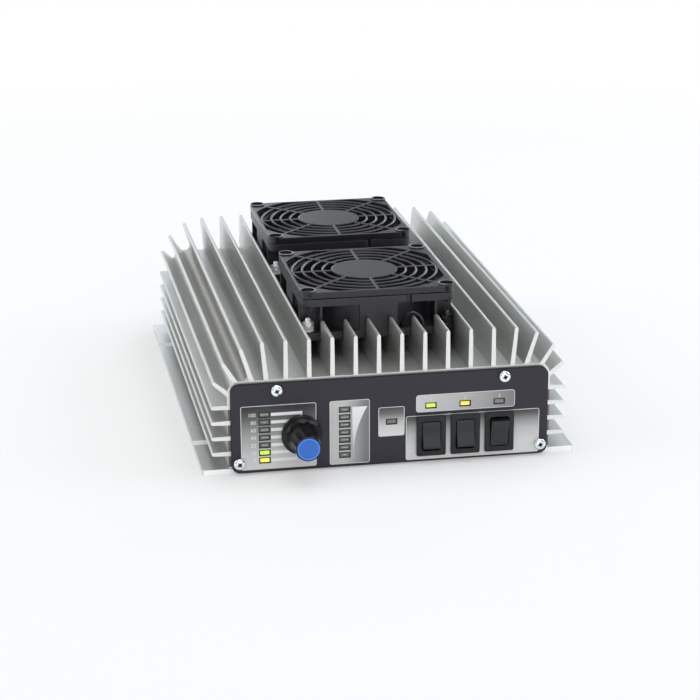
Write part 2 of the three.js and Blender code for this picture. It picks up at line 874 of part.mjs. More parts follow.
// Fan blade: chord lines at four radii, each an arc of the pitch helix with a little camber
const blade = {
  count: 7,
  tip: 36.7,
  thick: 1.2,
  low: 3.4,
  high: 16.2,
  spread: THREE.MathUtils.degToRad(40),
  sweep: THREE.MathUtils.degToRad(14),
  camber: 1.1,
};

function fanBlade() {
  const radii = [0, 0.5, 1].map((share) =>
    fanHub.radius - bondDepth + share * (blade.tip - fanHub.radius + bondDepth));
  const rings = radii.map((radius, i) => {
    const share = i / (radii.length - 1);
    const start = share * blade.sweep;
    const spread = blade.spread * (1 + 0.12 * share);
    const faces = [[], []];
    for (const along of [0, 1 / 3, 2 / 3, 1]) {
      const bulge = blade.camber * 4 * along * (1 - along);
      const angle = start + along * spread;
      const z = blade.low + along * (blade.high - blade.low) + bulge;
      const half = (blade.thick / 2) * (1 - 0.55 * Math.abs(2 * along - 1));
      const slope = (blade.high - blade.low) / (radius * spread);
      const lean = Math.atan(slope);
      for (const face of [0, 1]) {
        const push = (face ? 1 : -1) * half;
        const shift = (push * Math.sin(lean)) / radius;
        const turnTo = angle - shift;
        faces[face].push([
          radius * Math.cos(turnTo), radius * Math.sin(turnTo), z + push * Math.cos(lean),
        ]);
      }
    }
    return [...faces[0], ...faces[1].reverse()];
  });
  return loft(rings);
}

function fanRotor() {
  const low = fanHub.baseThick + fanHub.lift;
  const parts = [turned([
    [0, low], [fanHub.radius, low], [fanHub.radius, fanHub.top - fanHub.wall],
    [fanHub.radius - fanHub.wall, fanHub.top], [0, fanHub.top],
  ], 24)];
  for (let i = 0; i < blade.count; i += 1) {
    parts.push(fanBlade().rotateZ((i * full) / blade.count));
  }
  const inner = turned([
    [0, low - overrun],
    [fanHub.radius - fanHub.wall, low - overrun],
    [fanHub.radius - fanHub.wall, fanHub.top - 2 * fanHub.wall],
    [fanHub.boss, fanHub.top - 2 * fanHub.wall],
    [fanHub.boss, low + fanHub.wall],
    [fanHub.shaftBore, low + fanHub.wall],
    [fanHub.shaftBore, fanHub.top - fanHub.wall],
    [0, fanHub.top - fanHub.wall],
  ], 16);
  const lowCut = rod(fanHub.boss + bondDepth, low - overrun, low + fanHub.wall, 16);
  return sculpt(parts, [inner, lowCut]);
}

const guard = {
  thick: 3.4,
  rim: 1.4,
  opening: 43.4,
  ringOuter: [22.5, 27.9, 33.2, 38.5],
  ringWidth: 1.5,
  gridHeight: 1.8,
  disc: 17.4,
  spokeWidth: 1.7,
  spokes: 8,
  collar: 4.2,
  rise: 0.8,
  recess: 3.45,
  recessDepth: 2.1,
};

function fanGuard() {
  const g = guard;
  const inner = fanSize - 2 * g.rim;
  const gridLow = g.thick - g.gridHeight;
  const opening = solid(block(inner, inner, g.thick + 2 * overrun, 0, 0, g.thick / 2))
    .intersect(solid(rod(g.opening, -overrun, g.thick + overrun, 32)));
  let body = solid(raise(roundedRect(fanSize, fanSize, fan.corner), g.thick)).subtract(opening);
  for (const outer of g.ringOuter) {
    const ring = new THREE.Shape().absarc(0, 0, outer, 0, full);
    ring.holes.push(new THREE.Path().absarc(0, 0, outer - g.ringWidth, 0, full, true));
    body = body.add(solid(raise(ring, g.gridHeight, 12).translate(0, 0, gridLow)));
  }
  body = body.add(solid(rod(g.disc, gridLow, g.thick, 24)));
  for (let i = 0; i < g.spokes; i += 1) {
    const outer = i % 2 ? g.opening + bondDepth : (fanSize - g.rim) / 2;
    const start = g.disc - g.spokeWidth;
    const arm = block(outer - start, g.spokeWidth, g.gridHeight, (outer + start) / 2, 0,
      gridLow + g.gridHeight / 2);
    body = body.add(solid(arm.rotateZ((i * full) / g.spokes)));
  }
  const top = g.thick + g.rise;
  const outline = solid(raise(roundedRect(fanSize, fanSize, fan.corner), top));
  for (const x of [-fan.holeShift, fan.holeShift]) {
    for (const y of [-fan.holeShift, fan.holeShift]) {
      body = body.add(solid(rod(g.collar, g.rise, top, 20, x, y)).intersect(outline));
      body = body.subtract(solid(rod(g.recess, g.thick - g.recessDepth, top + overrun, 16, x, y)));
      body = body.subtract(solid(rod(fan.holeRadius, -overrun, top + overrun, 8, x, y)));
    }
  }
  return surface(body);
}

const guardScrew = { ...screw, head: 2.9, headHeight: 1.7, crown: 1.8, shank: 1.6, length: 7.5 };

// Fan bolt: comes up from inside the roof, through the fan's lower flange, with its nut on top
function fanBoltStack() {
  const b = fanBolt;
  const flangeTop = fan.bottom + fan.flange + seatGap;
  const washerTop = flangeTop + b.washerHeight;
  const nutTop = washerTop + b.nutHeight;
  const lockTop = nutTop + b.lockHeight;
  const headTop = roofUnder - seatGap;
  const profile = [
    [0, headTop - b.headHeight],
    [b.head, headTop - b.headHeight],
    [b.head, headTop],
    [b.shank, headTop],
    [b.shank, flangeTop],
    [b.washer, flangeTop],
    [b.washer, washerTop],
    [b.lock, washerTop],
    [b.lock, lockTop],
    [b.shank, lockTop],
    [b.shank, lockTop + b.stickOut],
    [0, lockTop + b.stickOut],
  ];
  const hex = raise(regular(6, b.nut), b.nutHeight).translate(0, 0, washerTop + bondDepth / 2);
  return sculpt([turned(profile, 8), hex]);
}

// Fan lead: from the middle of the frame down through the roof to the board inside
function fanLead() {
  const start = fan.bottom - seatGap;
  const points = [0, 0.3, 0.7, 1].map((share, i) =>
    new THREE.Vector3((i % 3 ? 0.4 : 0) * lead.sway, 0, start - share * lead.drop));
  const path = new THREE.CatmullRomCurve3(points);
  const section = regular(8, lead.radius);
  return new THREE.ExtrudeGeometry(section, { steps: 6, extrudePath: path, bevelEnabled: false });
}

const guardLow = fanTop + seatGap;
for (const [place, fanY] of [['front', -fan.shift], ['rear', fan.shift]]) {
  addPiece(`${place}_fan_frame`, fanFrame(), blackPlastic, [0, fanY, fan.bottom]);
  addPiece(`${place}_fan_rotor`, fanRotor(), glossBlack, [0, fanY, fan.bottom]);
  addPiece(`${place}_fan_guard`, fanGuard(), blackPlastic, [0, fanY, guardLow]);
  addPiece(`${place}_fan_lead`, fanLead(), blackPlastic, [0, fanY, 0]);
  let number = 0;
  for (const y of [-fan.holeShift, fan.holeShift]) {
    for (const x of [-fan.holeShift, fan.holeShift]) {
      number += 1;
      const seatZ = guardLow + guard.thick - guard.recessDepth + seatGap;
      const spin = THREE.MathUtils.degToRad(15 + number * 22);
      const head = panScrew(guardScrew).rotateX(-quarter).rotateZ(spin);
      addPiece(`${place}_guard_screw_${number}`, head, blackSteel, [x, fanY + y, seatZ]);
      addPiece(`${place}_fan_bolt_${number}`, fanBoltStack(), zinc, [x, fanY + y, 0]);
    }
  }
}

// Rear panel: sockets, keying jack and the gland of the supply lead

const socket = {
  x: 48,
  z: 25,
  flange: 25.4,
  flangeThick: 2.2,
  flangeCorner: 1.2,
  barrel: 7.9,
  barrelLength: 15,
  mouth: 6.1,
  mouthDepth: 10,
  contact: 2,
  contactDepth: 4.8,
  tail: 5.6,
  tailLength: 7,
  pin: 1.2,
  pinLength: 4,
};
const jack = { x: 22, z: 14, barrel: 4.1, barrelLength: 9, collar: 6, collarThick: 2, bore: 1.6, tail: 3.6, tailLength: 8 };
const gland = { x: -12, z: 14, collar: 8, collarThick: 4, neck: 6, bore: 4, tailThick: 3 };

const rearScrewLength = 12;

// The rear panel stands on its back edge at y = 0 and its four screws are one with it.
function rearPanel() {
  const parts = [panelBlank()];
  for (const [x, z] of screwPlaces) {
    const up = z - panelBottom;
    parts.push(lyingRod(screw.shank, -rearScrewLength, bondDepth, 8, x, up));
    parts.push(lyingRod(screw.head, panelThick - bondDepth, panelThick + screw.headHeight, 10, x, up));
  }
  const hole = (radius, x, z, sides) =>
    lyingRod(radius, -overrun, panelThick + overrun, sides, x, z - panelBottom);
  return sculpt(parts, [
    hole(socket.tail + sideGap, -socket.x, socket.z, 20),
    hole(socket.tail + sideGap, socket.x, socket.z, 20),
    hole(jack.tail + sideGap, jack.x, jack.z, 16),
    hole(gland.neck + sideGap, gland.x, gland.z, 20),
  ]);
}

// Screw-on radio socket seen along +Y, the seat of its flange at y = 0
function radioSocket() {
  const s = socket;
  const end = s.flangeThick + s.barrelLength;
  const parts = [
    push(roundedRect(s.flange, s.flange, s.flangeCorner), s.flangeThick, 2),
    lyingRod(s.barrel, s.flangeThick - bondDepth, end, 20),
    lyingRod(s.tail, -s.tailLength, bondDepth, 12),
    lyingRod(s.pin, -s.tailLength - s.pinLength, -s.tailLength + bondDepth, 8),
  ];
  let body = parts.map(solid).reduce((a, b) => a.add(b));
  body = body.subtract(solid(lyingRod(s.mouth, end - s.mouthDepth, end + overrun, 20)));
  body = body.add(solid(lyingRod(s.contact, end - s.mouthDepth - bondDepth, end - s.contactDepth, 8)));
  return surface(body);
}

function keyingJack() {
  const j = jack;
  const parts = [
    lyingRod(j.collar, 0, j.collarThick, 16),
    lyingRod(j.barrel, j.collarThick - bondDepth, j.collarThick + j.barrelLength, 16),
    lyingRod(j.tail, -j.tailLength, bondDepth, 12),
  ];
  return sculpt(parts, [lyingRod(j.bore, j.collarThick, j.collarThick + j.barrelLength + overrun, 12)]);
}

function leadGland() {
  const g = gland;
  const inside = -panelThick - 2 * seatGap;
  const parts = [
    lyingRod(g.collar, 0, g.collarThick, 16),
    lyingRod(g.neck, inside - bondDepth, bondDepth, 16),
    lyingRod(g.collar, inside - g.tailThick, inside, 16),
  ];
  return sculpt(parts, [lyingRod(g.bore, inside - g.tailThick - overrun, g.collarThick + overrun, 16)]);
}

const rearPanelY = rearEnd + seatGap;
const rearFace = rearPanelY + panelThick;
addPiece('rear_panel', rearPanel(), charcoalPaint, [0, rearPanelY, panelBottom]);
addPiece('input_socket', radioSocket(), nickel, [-socket.x, rearFace + seatGap, socket.z]);
addPiece('output_socket', radioSocket(), nickel, [socket.x, rearFace + seatGap, socket.z]);
addPiece('keying_jack', keyingJack(), nickel, [jack.x, rearFace + seatGap, jack.z]);
addPiece('supply_lead_gland', leadGland(), blackPlastic, [gland.x, rearFace + seatGap, gland.z]);

// Inside: the amplifier board hangs from the roof, with its heavy parts below it

const mainBoard = {
  width: 132,
  length: 205,
  thick: 1.6,
  top: 37.6,
  middleY: 6,
  spacer: 3,
  spacerX: 45,
  spacerY: 92,
  window: 1.2,
};
const transistor = {
  x: 20,
  y: 0,
  flangeWidth: 25,
  flangeDepth: 6.6,
  flangeThick: 1.8,
  capRadius: 6.2,
  capHeight: 3.2,
  tabWidth: 5.4,
  tabReach: 12,
  tabThick: 0.3,
};
const outputCore = { x: 0, y: 45, width: 38, length: 32, height: 18, corner: 8.5, bore: 4.4, boreX: 9.6 };
const inputCore = { x: 0, y: -45, width: 22, length: 16, height: 11, corner: 5, bore: 2.4, boreX: 5.6 };
const relay = { x: 44, y: 78, width: 16, length: 22, height: 17, corner: 1.2 };

function amplifierBoard() {
  const m = mainBoard;
  const parts = [raise(roundedRect(m.width, m.length, m.window), m.thick)];
  const reach = roofUnder - m.top - seatGap;
  for (const x of [-m.spacerX, m.spacerX]) {
    for (const y of [-m.spacerY, m.spacerY]) {
      parts.push(rod(m.spacer, m.thick - bondDepth, m.thick + reach, 10, x, y));
    }
  }
  return sculpt(parts);
}

// Flanged power transistor hanging from the roof: the flange above, the cap and tabs below
function powerTransistor() {
  const t = transistor;
  const tabZ = -t.flangeThick - t.tabThick;
  return sculpt([
    raise(roundedRect(t.flangeWidth, t.flangeDepth, t.flangeDepth / 3), t.flangeThick, 3)
      .translate(0, 0, -t.flangeThick),
    rod(t.capRadius, -t.flangeThick - t.capHeight, -t.flangeThick + bondDepth, 16),
    block(t.tabWidth, 2 * t.tabReach, t.tabThick, 0, 0, tabZ - t.tabThick),
  ]);
}

// Ferrite core with two bores along Y, its top face at z = 0
function twinCore({ width, length, height, corner, bore, boreX }) {
  const outline = roundedRect(width, height, corner, 0, -height / 2);
  const core = push(outline, length, 4).translate(0, -length / 2, 0);
  const cut = (x) => lyingRod(bore, -length / 2 - overrun, length / 2 + overrun, 16, x, -height / 2);
  return sculpt([core], [cut(-boreX), cut(boreX)]);
}

const boardUnder = mainBoard.top - mainBoard.thick;
addPiece('amplifier_board', amplifierBoard(), boardGreen, [0, mainBoard.middleY, boardUnder]);
for (const [name, x] of [['power_transistor_1', -transistor.x], ['power_transistor_2', transistor.x]]) {
  addPiece(name, powerTransistor(), ceramicWhite, [x, transistor.y, roofUnder - seatGap]);
}
addPiece('output_transformer', twinCore(outputCore), ferrite,
  [outputCore.x, outputCore.y, boardUnder - seatGap]);
addPiece('input_transformer', twinCore(inputCore), ferrite,
  [inputCore.x, inputCore.y, boardUnder - seatGap]);
addPiece('aerial_relay',
  raise(roundedRect(relay.width, relay.length, relay.corner), relay.height, 2)
    .translate(0, 0, -relay.height),
  blackPlastic, [relay.x, relay.y, boardUnder - seatGap]);

export default amplifier;
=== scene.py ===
import json
import math

import bpy
from mathutils import Matrix, Vector


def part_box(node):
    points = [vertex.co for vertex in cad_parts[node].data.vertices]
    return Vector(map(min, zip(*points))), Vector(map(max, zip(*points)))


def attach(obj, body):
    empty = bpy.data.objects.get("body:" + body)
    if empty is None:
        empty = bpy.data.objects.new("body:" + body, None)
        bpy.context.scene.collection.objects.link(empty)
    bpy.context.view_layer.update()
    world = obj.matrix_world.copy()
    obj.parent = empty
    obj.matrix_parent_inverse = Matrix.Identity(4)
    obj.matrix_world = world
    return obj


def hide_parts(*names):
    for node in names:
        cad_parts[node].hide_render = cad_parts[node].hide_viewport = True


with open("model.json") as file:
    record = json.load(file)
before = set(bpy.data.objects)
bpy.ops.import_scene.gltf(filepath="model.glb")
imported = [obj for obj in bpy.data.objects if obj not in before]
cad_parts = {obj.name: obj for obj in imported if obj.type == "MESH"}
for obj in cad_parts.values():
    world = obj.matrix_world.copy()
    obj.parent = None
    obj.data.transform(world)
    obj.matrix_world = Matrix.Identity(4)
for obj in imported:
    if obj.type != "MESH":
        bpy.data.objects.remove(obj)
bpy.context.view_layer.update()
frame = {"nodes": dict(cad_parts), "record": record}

# The finned radio amplifier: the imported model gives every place, and this script dresses it.
# Sizes in the dictionaries are millimetres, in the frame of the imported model.

mm = 0.001
print("stage 1: frame loaded")


# Small helpers for working as one would by hand

def clearSelection():
    if bpy.context.object and bpy.context.object.mode != 'OBJECT':
        bpy.ops.object.mode_set(mode='OBJECT')
    bpy.ops.object.select_all(action='DESELECT')


def pick(piece, others=()):
    clearSelection()
    for each in (*others, piece):
        each.select_set(True)
    bpy.context.view_layer.objects.active = piece


def settled(name):
    # names the active piece and writes its place into its mesh
    if bpy.context.object.mode != 'OBJECT':
        bpy.ops.object.mode_set(mode='OBJECT')
    piece = bpy.context.object
    piece.name = name
    bpy.ops.object.transform_apply(location=True, rotation=True, scale=True)
    return piece


def linked(name, data):
    piece = bpy.data.objects.new(name, data)
    bpy.context.scene.collection.objects.link(piece)
    return piece


def moved(x, y, z):
    return Matrix.Translation(Vector((x, y, z)) * mm)


def turned(degrees, axis='Z'):
    return Matrix.Rotation(math.radians(degrees), 4, axis)


def middleOf(node):
    return [(low + high) / 2 / mm for low, high in zip(*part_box(node))]


def editAll():
    bpy.ops.object.mode_set(mode='EDIT')
    bpy.ops.mesh.select_all(action='SELECT')


def closedForm(name):
    bpy.ops.mesh.select_all(action='SELECT')
    bpy.ops.mesh.normals_make_consistent(inside=False)
    return settled(name)


def drawnOut(name, reach):
    # the flat outline in hand becomes a closed body
    editAll()
    bpy.ops.mesh.extrude_region_move(TRANSFORM_OT_translate={"value": [r * mm for r in reach]})
    return closedForm(name)


def outlinePiece(name, points, reach):
    clearSelection()
    bpy.ops.mesh.primitive_circle_add(vertices=len(points), radius=0.01, fill_type='NGON')
    for point, place in zip(bpy.context.object.data.vertices, points):
        point.co = Vector(place) * mm
    return drawnOut(name, reach)


def boxPiece(name, size, centre):
    clearSelection()
    bpy.ops.mesh.primitive_cube_add(size=1, location=[c * mm for c in centre])
    bpy.context.object.scale = [s * mm for s in size]
    return settled(name)


def rodPiece(name, radius, low, high, sides=48, centre=(0, 0), along='Z', tip=None):
    clearSelection()
    middle = (low + high) / 2
    upright = along == 'Z'
    place = (*centre, middle) if upright else (centre[0], middle, centre[1])
    turn = (0, 0, 0) if upright else (math.radians(-90), 0, 0)
    bpy.ops.mesh.primitive_cone_add(vertices=sides, radius1=radius * mm,
                                    radius2=(radius if tip is None else tip) * mm,
                                    depth=(high - low) * mm,
                                    location=[p * mm for p in place], rotation=turn)
    return settled(name)


def turnedPiece(name, profile, sides=64, along='Z', place=(0, 0, 0), smooth=None):
    # a turned form: a ring is drawn out from reach to reach and set to each radius
    clearSelection()
    reach, radius = profile[0]
    bpy.ops.mesh.primitive_circle_add(vertices=sides, radius=radius * mm, fill_type='NGON',
                                      location=(0, 0, reach * mm))
    editAll()
    for nextReach, nextRadius in profile[1:]:
        bpy.ops.mesh.extrude_region_move(
            TRANSFORM_OT_translate={"value": (0, 0, (nextReach - reach) * mm)})
        share = nextRadius / radius
        bpy.ops.transform.resize(value=(share, share, 1))
        reach, radius = nextReach, nextRadius
    piece = closedForm(name)
    stand = {'Z': 0, 'Y': -90, '-Y': 90}[along]
    piece.data.transform(moved(*place) @ turned(stand, 'X'))
    return shaded(piece, smooth) if smooth else piece


def ringPiece(name, middle, width, height, z):
    # a round bar bent into a ring, flattened to its height
    clearSelection()
    bpy.ops.mesh.primitive_torus_add(major_radius=middle * mm, minor_radius=width / 2 * mm,
                                     major_segments=128, minor_segments=14,
                                     location=(0, 0, z * mm))
    bpy.context.object.scale = (1, 1, height / width)
    return settled(name)


def platePiece(name, outer, inner, low, high, sides=256):
    # a flat plate around an opening, both outlines given as a radius at each angle
    clearSelection()
    bpy.ops.mesh.primitive_circle_add(vertices=sides, radius=1, fill_type='NOTHING')
    editAll()
    bpy.ops.mesh.extrude_region_move()
    bpy.ops.object.mode_set(mode='OBJECT')
    for number, point in enumerate(bpy.context.object.data.vertices):
        angle = 2 * math.pi * (number % sides) / sides
        radius = outer(angle) if number < sides else inner(angle)
        point.co = Vector((radius * math.cos(angle), radius * math.sin(angle), low)) * mm
    return drawnOut(name, (0, 0, high - low))


def squareReach(half, corner):
    # distance from the middle to the edge of a square with rounded corners
    def reach(angle):
        along, across = sorted((abs(math.cos(angle)), abs(math.sin(angle))), reverse=True)
        straight = half / along
        if straight * across <= half - corner:
            return straight
        centre = half - corner
        middle = centre * (along + across)
        return middle + math.sqrt(middle ** 2 - 2 * centre ** 2 + corner ** 2)
    return reach


def gathered(piece, others):
    # several loose forms kept as one object
    pick(piece, others)
    bpy.ops.object.join()
    return piece


def applied(piece, kind, **settings):
    pick(piece)
    modifier = piece.modifiers.new(kind.title(), kind)
    for key, value in settings.items():
        setattr(modifier, key, value)
    bpy.ops.object.modifier_apply(modifier=modifier.name)
    return piece


def combined(piece, others, operation, keep=False):
    for other in others:
        applied(piece, 'BOOLEAN', object=other, operation=operation, solver='EXACT')
        if not keep:
            bpy.data.objects.remove(other)
    return piece


def cut(piece, cutters, keep=False):
    return combined(piece, cutters, 'DIFFERENCE', keep)


def shaded(piece, angle=38):
    # smooth over the small rounds, flat on the large faces
    pick(piece)
    bpy.ops.object.shade_smooth_by_angle(angle=math.radians(angle))
    return applied(piece, 'WEIGHTED_NORMAL', keep_sharp=True, weight=80)


def roundEdges(piece, width, segments=2, angle=35, clamp=True):
    applied(piece, 'BEVEL', width=width * mm, segments=segments, limit_method='ANGLE',
            angle_limit=math.radians(angle), use_clamp_overlap=clamp, miter_outer='MITER_SHARP')
    return shaded(piece)


def chosen(piece, kind, parts, wanted):
    # selects the edges or faces that a test wants, and stays in edit mode
    pick(piece)
    bpy.ops.object.mode_set(mode='EDIT')
    bpy.ops.mesh.select_mode(type=kind)
    bpy.ops.mesh.select_all(action='DESELECT')
    bpy.ops.object.mode_set(mode='OBJECT')
    for part in parts:
        part.select = wanted(part)
    bpy.ops.object.mode_set(mode='EDIT')


def softCorners(piece, width, axis, segments=5):
    # rounds only the edges that run along one axis
    def runsAlong(edge):
        start, end = [piece.data.vertices[i].co for i in edge.vertices]
        return abs((end - start).normalized()[axis]) > 0.999
    chosen(piece, 'EDGE', piece.data.edges, runsAlong)
    bpy.ops.mesh.bevel(offset=width * mm, segments=segments, affect='EDGES')
    bpy.ops.object.mode_set(mode='OBJECT')
    return piece


def copyOfNode(node, name):
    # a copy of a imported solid, its loose triangles merged into one skin
    piece = linked(name, frame["nodes"][node].data.copy())
    piece.data.materials.clear()
    pick(piece)
    editAll()
    bpy.ops.mesh.remove_doubles(threshold=0.002 * mm)
    bpy.ops.object.mode_set(mode='OBJECT')
    return piece


def twin(piece, name, matrix):
    # a copy with its own mesh, its place written into the mesh
    other = linked(name, piece.data.copy())
    other.data.transform(matrix)
    return other


def painted(piece, material, wanted):
    # a further material, on the faces that a test wants
    piece.data.materials.append(material)
    for face in piece.data.polygons:
        if wanted(face):
            face.material_index = len(piece.data.materials) - 1


def bodyOf(node):
    for body, nodes in frame["record"]["behaviour"]["bodies"].items():
        if node in nodes:
            return body


def dress(piece, material, node=None):
    # finishes a piece: its material, the body that it rides on and the solid that it stands for
    if len(piece.data.materials) < 2:
        piece.data.materials.clear()
        piece.data.materials.append(material)
    else:
        piece.data.materials[0] = material
    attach(piece, bodyOf(node) if node else "case")
    if node:
        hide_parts(node)


# Camera

cameraSettings = {
    "place": (-208.74, -1145.24, 399.54),
    "azimuth": -10.44,
    "elevation": 18.03,
    "roll": -0.18,
    "lens": 113.82,
    "sensor": 36,
}


def aimCamera(settings):
    az, el, ro = [math.radians(settings[k]) for k in ("azimuth", "elevation", "roll")]
    back = Vector((math.sin(az) * math.cos(el), -math.cos(az) * math.cos(el), math.sin(el)))
    right = (-back).cross(Vector((0, 0, 1))).normalized()
    up = right.cross(-back)
    turnedRight = right * math.cos(ro) + up * math.sin(ro)
    turnedUp = up * math.cos(ro) - right * math.sin(ro)
    camera = linked("camera", bpy.data.cameras.new("camera"))
    camera.data.lens = settings["lens"]
    camera.data.sensor_width = settings["sensor"]
    camera.data.clip_start = 0.01
    matrix = Matrix((turnedRight, turnedUp, back)).transposed().to_4x4()
    matrix.translation = Vector(settings["place"]) * mm
    camera.matrix_world = matrix
    bpy.context.scene.camera = camera


aimCamera(cameraSettings)
print("stage 2: camera set")


# Shader nodes and groups shared by the materials

def newNode(tree, kind, inputs, **settings):
    # each input gets a value or a link from another node
    node = tree.nodes.new(kind)
    for key, value in settings.items():
        setattr(node, key, value)
    for key, value in inputs.items():
        if isinstance(value, bpy.types.NodeSocket):
            tree.links.new(value, node.inputs[key])
        else:
            node.inputs[key].default_value = value
    return node


def mathNode(tree, operation, *values):
    return newNode(tree, 'ShaderNodeMath', dict(enumerate(values)), operation=operation).outputs[0]


def mixColors(tree, blend, factor, a, b):
    return newNode(tree, 'ShaderNodeMix', {0: factor, 6: a, 7: b}, data_type='RGBA',
                   blend_type=blend).outputs[2]


def ranged(tree, value, low, high, span=(0, 1)):
    return newNode(tree, 'ShaderNodeMapRange',
                   {"Value": value, "From Min": span[0], "From Max": span[1],
                    "To Min": low, "To Max": high}).outputs[0]


def split(tree, vector):
    return newNode(tree, 'ShaderNodeSeparateXYZ', {0: vector}).outputs


def bumped(tree, height, strength, distance):
    return newNode(tree, 'ShaderNodeBump', {"Height": height, "Strength": strength,
                                            "Distance": distance * mm}).outputs[0]


def placeGroup(tree, group, **inputs):
    return newNode(tree, 'ShaderNodeGroup', inputs, node_tree=group).outputs[0]


def newGroup(name, output, kind, inputs):
    group = bpy.data.node_groups.new(name, 'ShaderNodeTree')
    for socketName, socketKind, value in inputs:
        socket = group.interface.new_socket(socketName, in_out='INPUT', socket_type=socketKind)
        socket.default_value = value
    group.interface.new_socket(output, in_out='OUTPUT', socket_type=kind)
    return group, group.nodes.new('NodeGroupInput').outputs


def grainGroup():
    # fine surface grain: a noise stretched along the directions that the finish runs in
    group, given = newGroup("surfaceGrain", "Grain", 'NodeSocketFloat', [
        ("Position", 'NodeSocketVector', (0, 0, 0)), ("Stretch", 'NodeSocketVector', (1, 1, 1)),
        ("Scale", 'NodeSocketFloat', 900.0), ("Softness", 'NodeSocketFloat', 0.5)])
    stretched = newNode(group, 'ShaderNodeVectorMath',
                        {0: given["Position"], 1: given["Stretch"]}, operation='MULTIPLY')
    noise = newNode(group, 'ShaderNodeTexNoise',
                    {"Vector": stretched.outputs[0], "Scale": given["Scale"], "Detail": 4,
                     "Roughness": given["Softness"]})
    newNode(group, 'NodeGroupOutput', {"Grain": noise.outputs[0]})
    return group


def toneGroup():
    # varies a colour a little by two masks, a fine one and a cloudy one
    group, given = newGroup("toneVariation", "Color", 'NodeSocketColor', [
        ("Color", 'NodeSocketColor', (0.5, 0.5, 0.5, 1)), ("Grain", 'NodeSocketFloat', 0.5),
        ("Clouds", 'NodeSocketFloat', 0.5), ("Fine", 'NodeSocketFloat', 0.1),
        ("Broad", 'NodeSocketFloat', 0.1)])
    fine, broad = [mathNode(group, 'MULTIPLY', mathNode(group, 'SUBTRACT', given[mask], 0.5),
                            given[amount])
                   for mask, amount in (("Grain", "Fine"), ("Clouds", "Broad"))]
    total = mathNode(group, 'ADD', mathNode(group, 'ADD', fine, broad), 1.0)
    toned = newNode(group, 'ShaderNodeVectorMath', {0: given["Color"]}, operation='SCALE')
    group.links.new(total, toned.inputs["Scale"])
    newNode(group, 'NodeGroupOutput', {"Color": toned.outputs[0]})
    return group


surfaceGrain = grainGroup()
toneVariation = toneGroup()


def newMaterial(name):
    material = bpy.data.materials.new(name)
    material.use_nodes = True
    tree = material.node_tree
    tree.nodes.clear()
    return material, tree, tree.nodes.new('ShaderNodeTexCoord').outputs["Object"]


def surface(tree, inputs):
    shader = newNode(tree, 'ShaderNodeBsdfPrincipled', inputs)
    newNode(tree, 'ShaderNodeOutputMaterial', {"Surface": shader.outputs[0]})


def finishMaterial(name, color, roughness, metallic=0.0, stretch=(1, 1, 1), scale=1500, fine=0.3,
                   broad=0.2, spread=0.12, bump=0.2, depth=0.02, coat=0.0, level=0.5):
    # fine and broad vary the tone, and spread the roughness
    material, tree, position = newMaterial(name)
    grain = placeGroup(tree, surfaceGrain, Position=position, Stretch=stretch, Scale=scale,
                       Softness=0.5)
    clouds = placeGroup(tree, surfaceGrain, Position=position, Stretch=(1, 1, 1), Scale=35,
                        Softness=0.6)
    surface(tree, {
        "Base Color": placeGroup(tree, toneVariation, Color=(*color, 1), Grain=grain,
                                 Clouds=clouds, Fine=fine, Broad=broad),
        "Roughness": ranged(tree, grain, roughness - spread / 2, roughness + spread / 2),
        "Metallic": metallic, "Coat Weight": coat, "Specular IOR Level": level,
        "Normal": bumped(tree, grain, bump, depth)})
    return material


# Materials

metalSettings = {
    "color": (0.56, 0.56, 0.54), "fine": 0.22, "broad": 0.12, "roughness": 0.42,
    "cutColor": (0.64, 0.635, 0.63), "cutFine": 0.15, "cutBroad": 0.06, "cutRoughness": 0.34,
    "spread": (-0.08, 0.1), "metallic": 0.9, "bump": 0.3, "depth": 0.03,
    "lines": {"Stretch": (1.0, 0.012, 1.0), "Scale": 700, "Softness": 0.6},
    "saw": {"Stretch": (0.03, 1.0, 1.0), "Scale": 900, "Softness": 0.7},
    "clouds": {"Stretch": (1, 0.25, 1), "Scale": 45, "Softness": 0.6},
    # between the side fins the sawn wall beside the panel lies in its shade
    "wall": 80.4, "wallEnd": 82.2, "wallTop": 36.4, "finZ": 10.95, "finPitch": 8.1,
    "finHalf": 1.15, "shadeColor": (0.12, 0.12, 0.115),
}


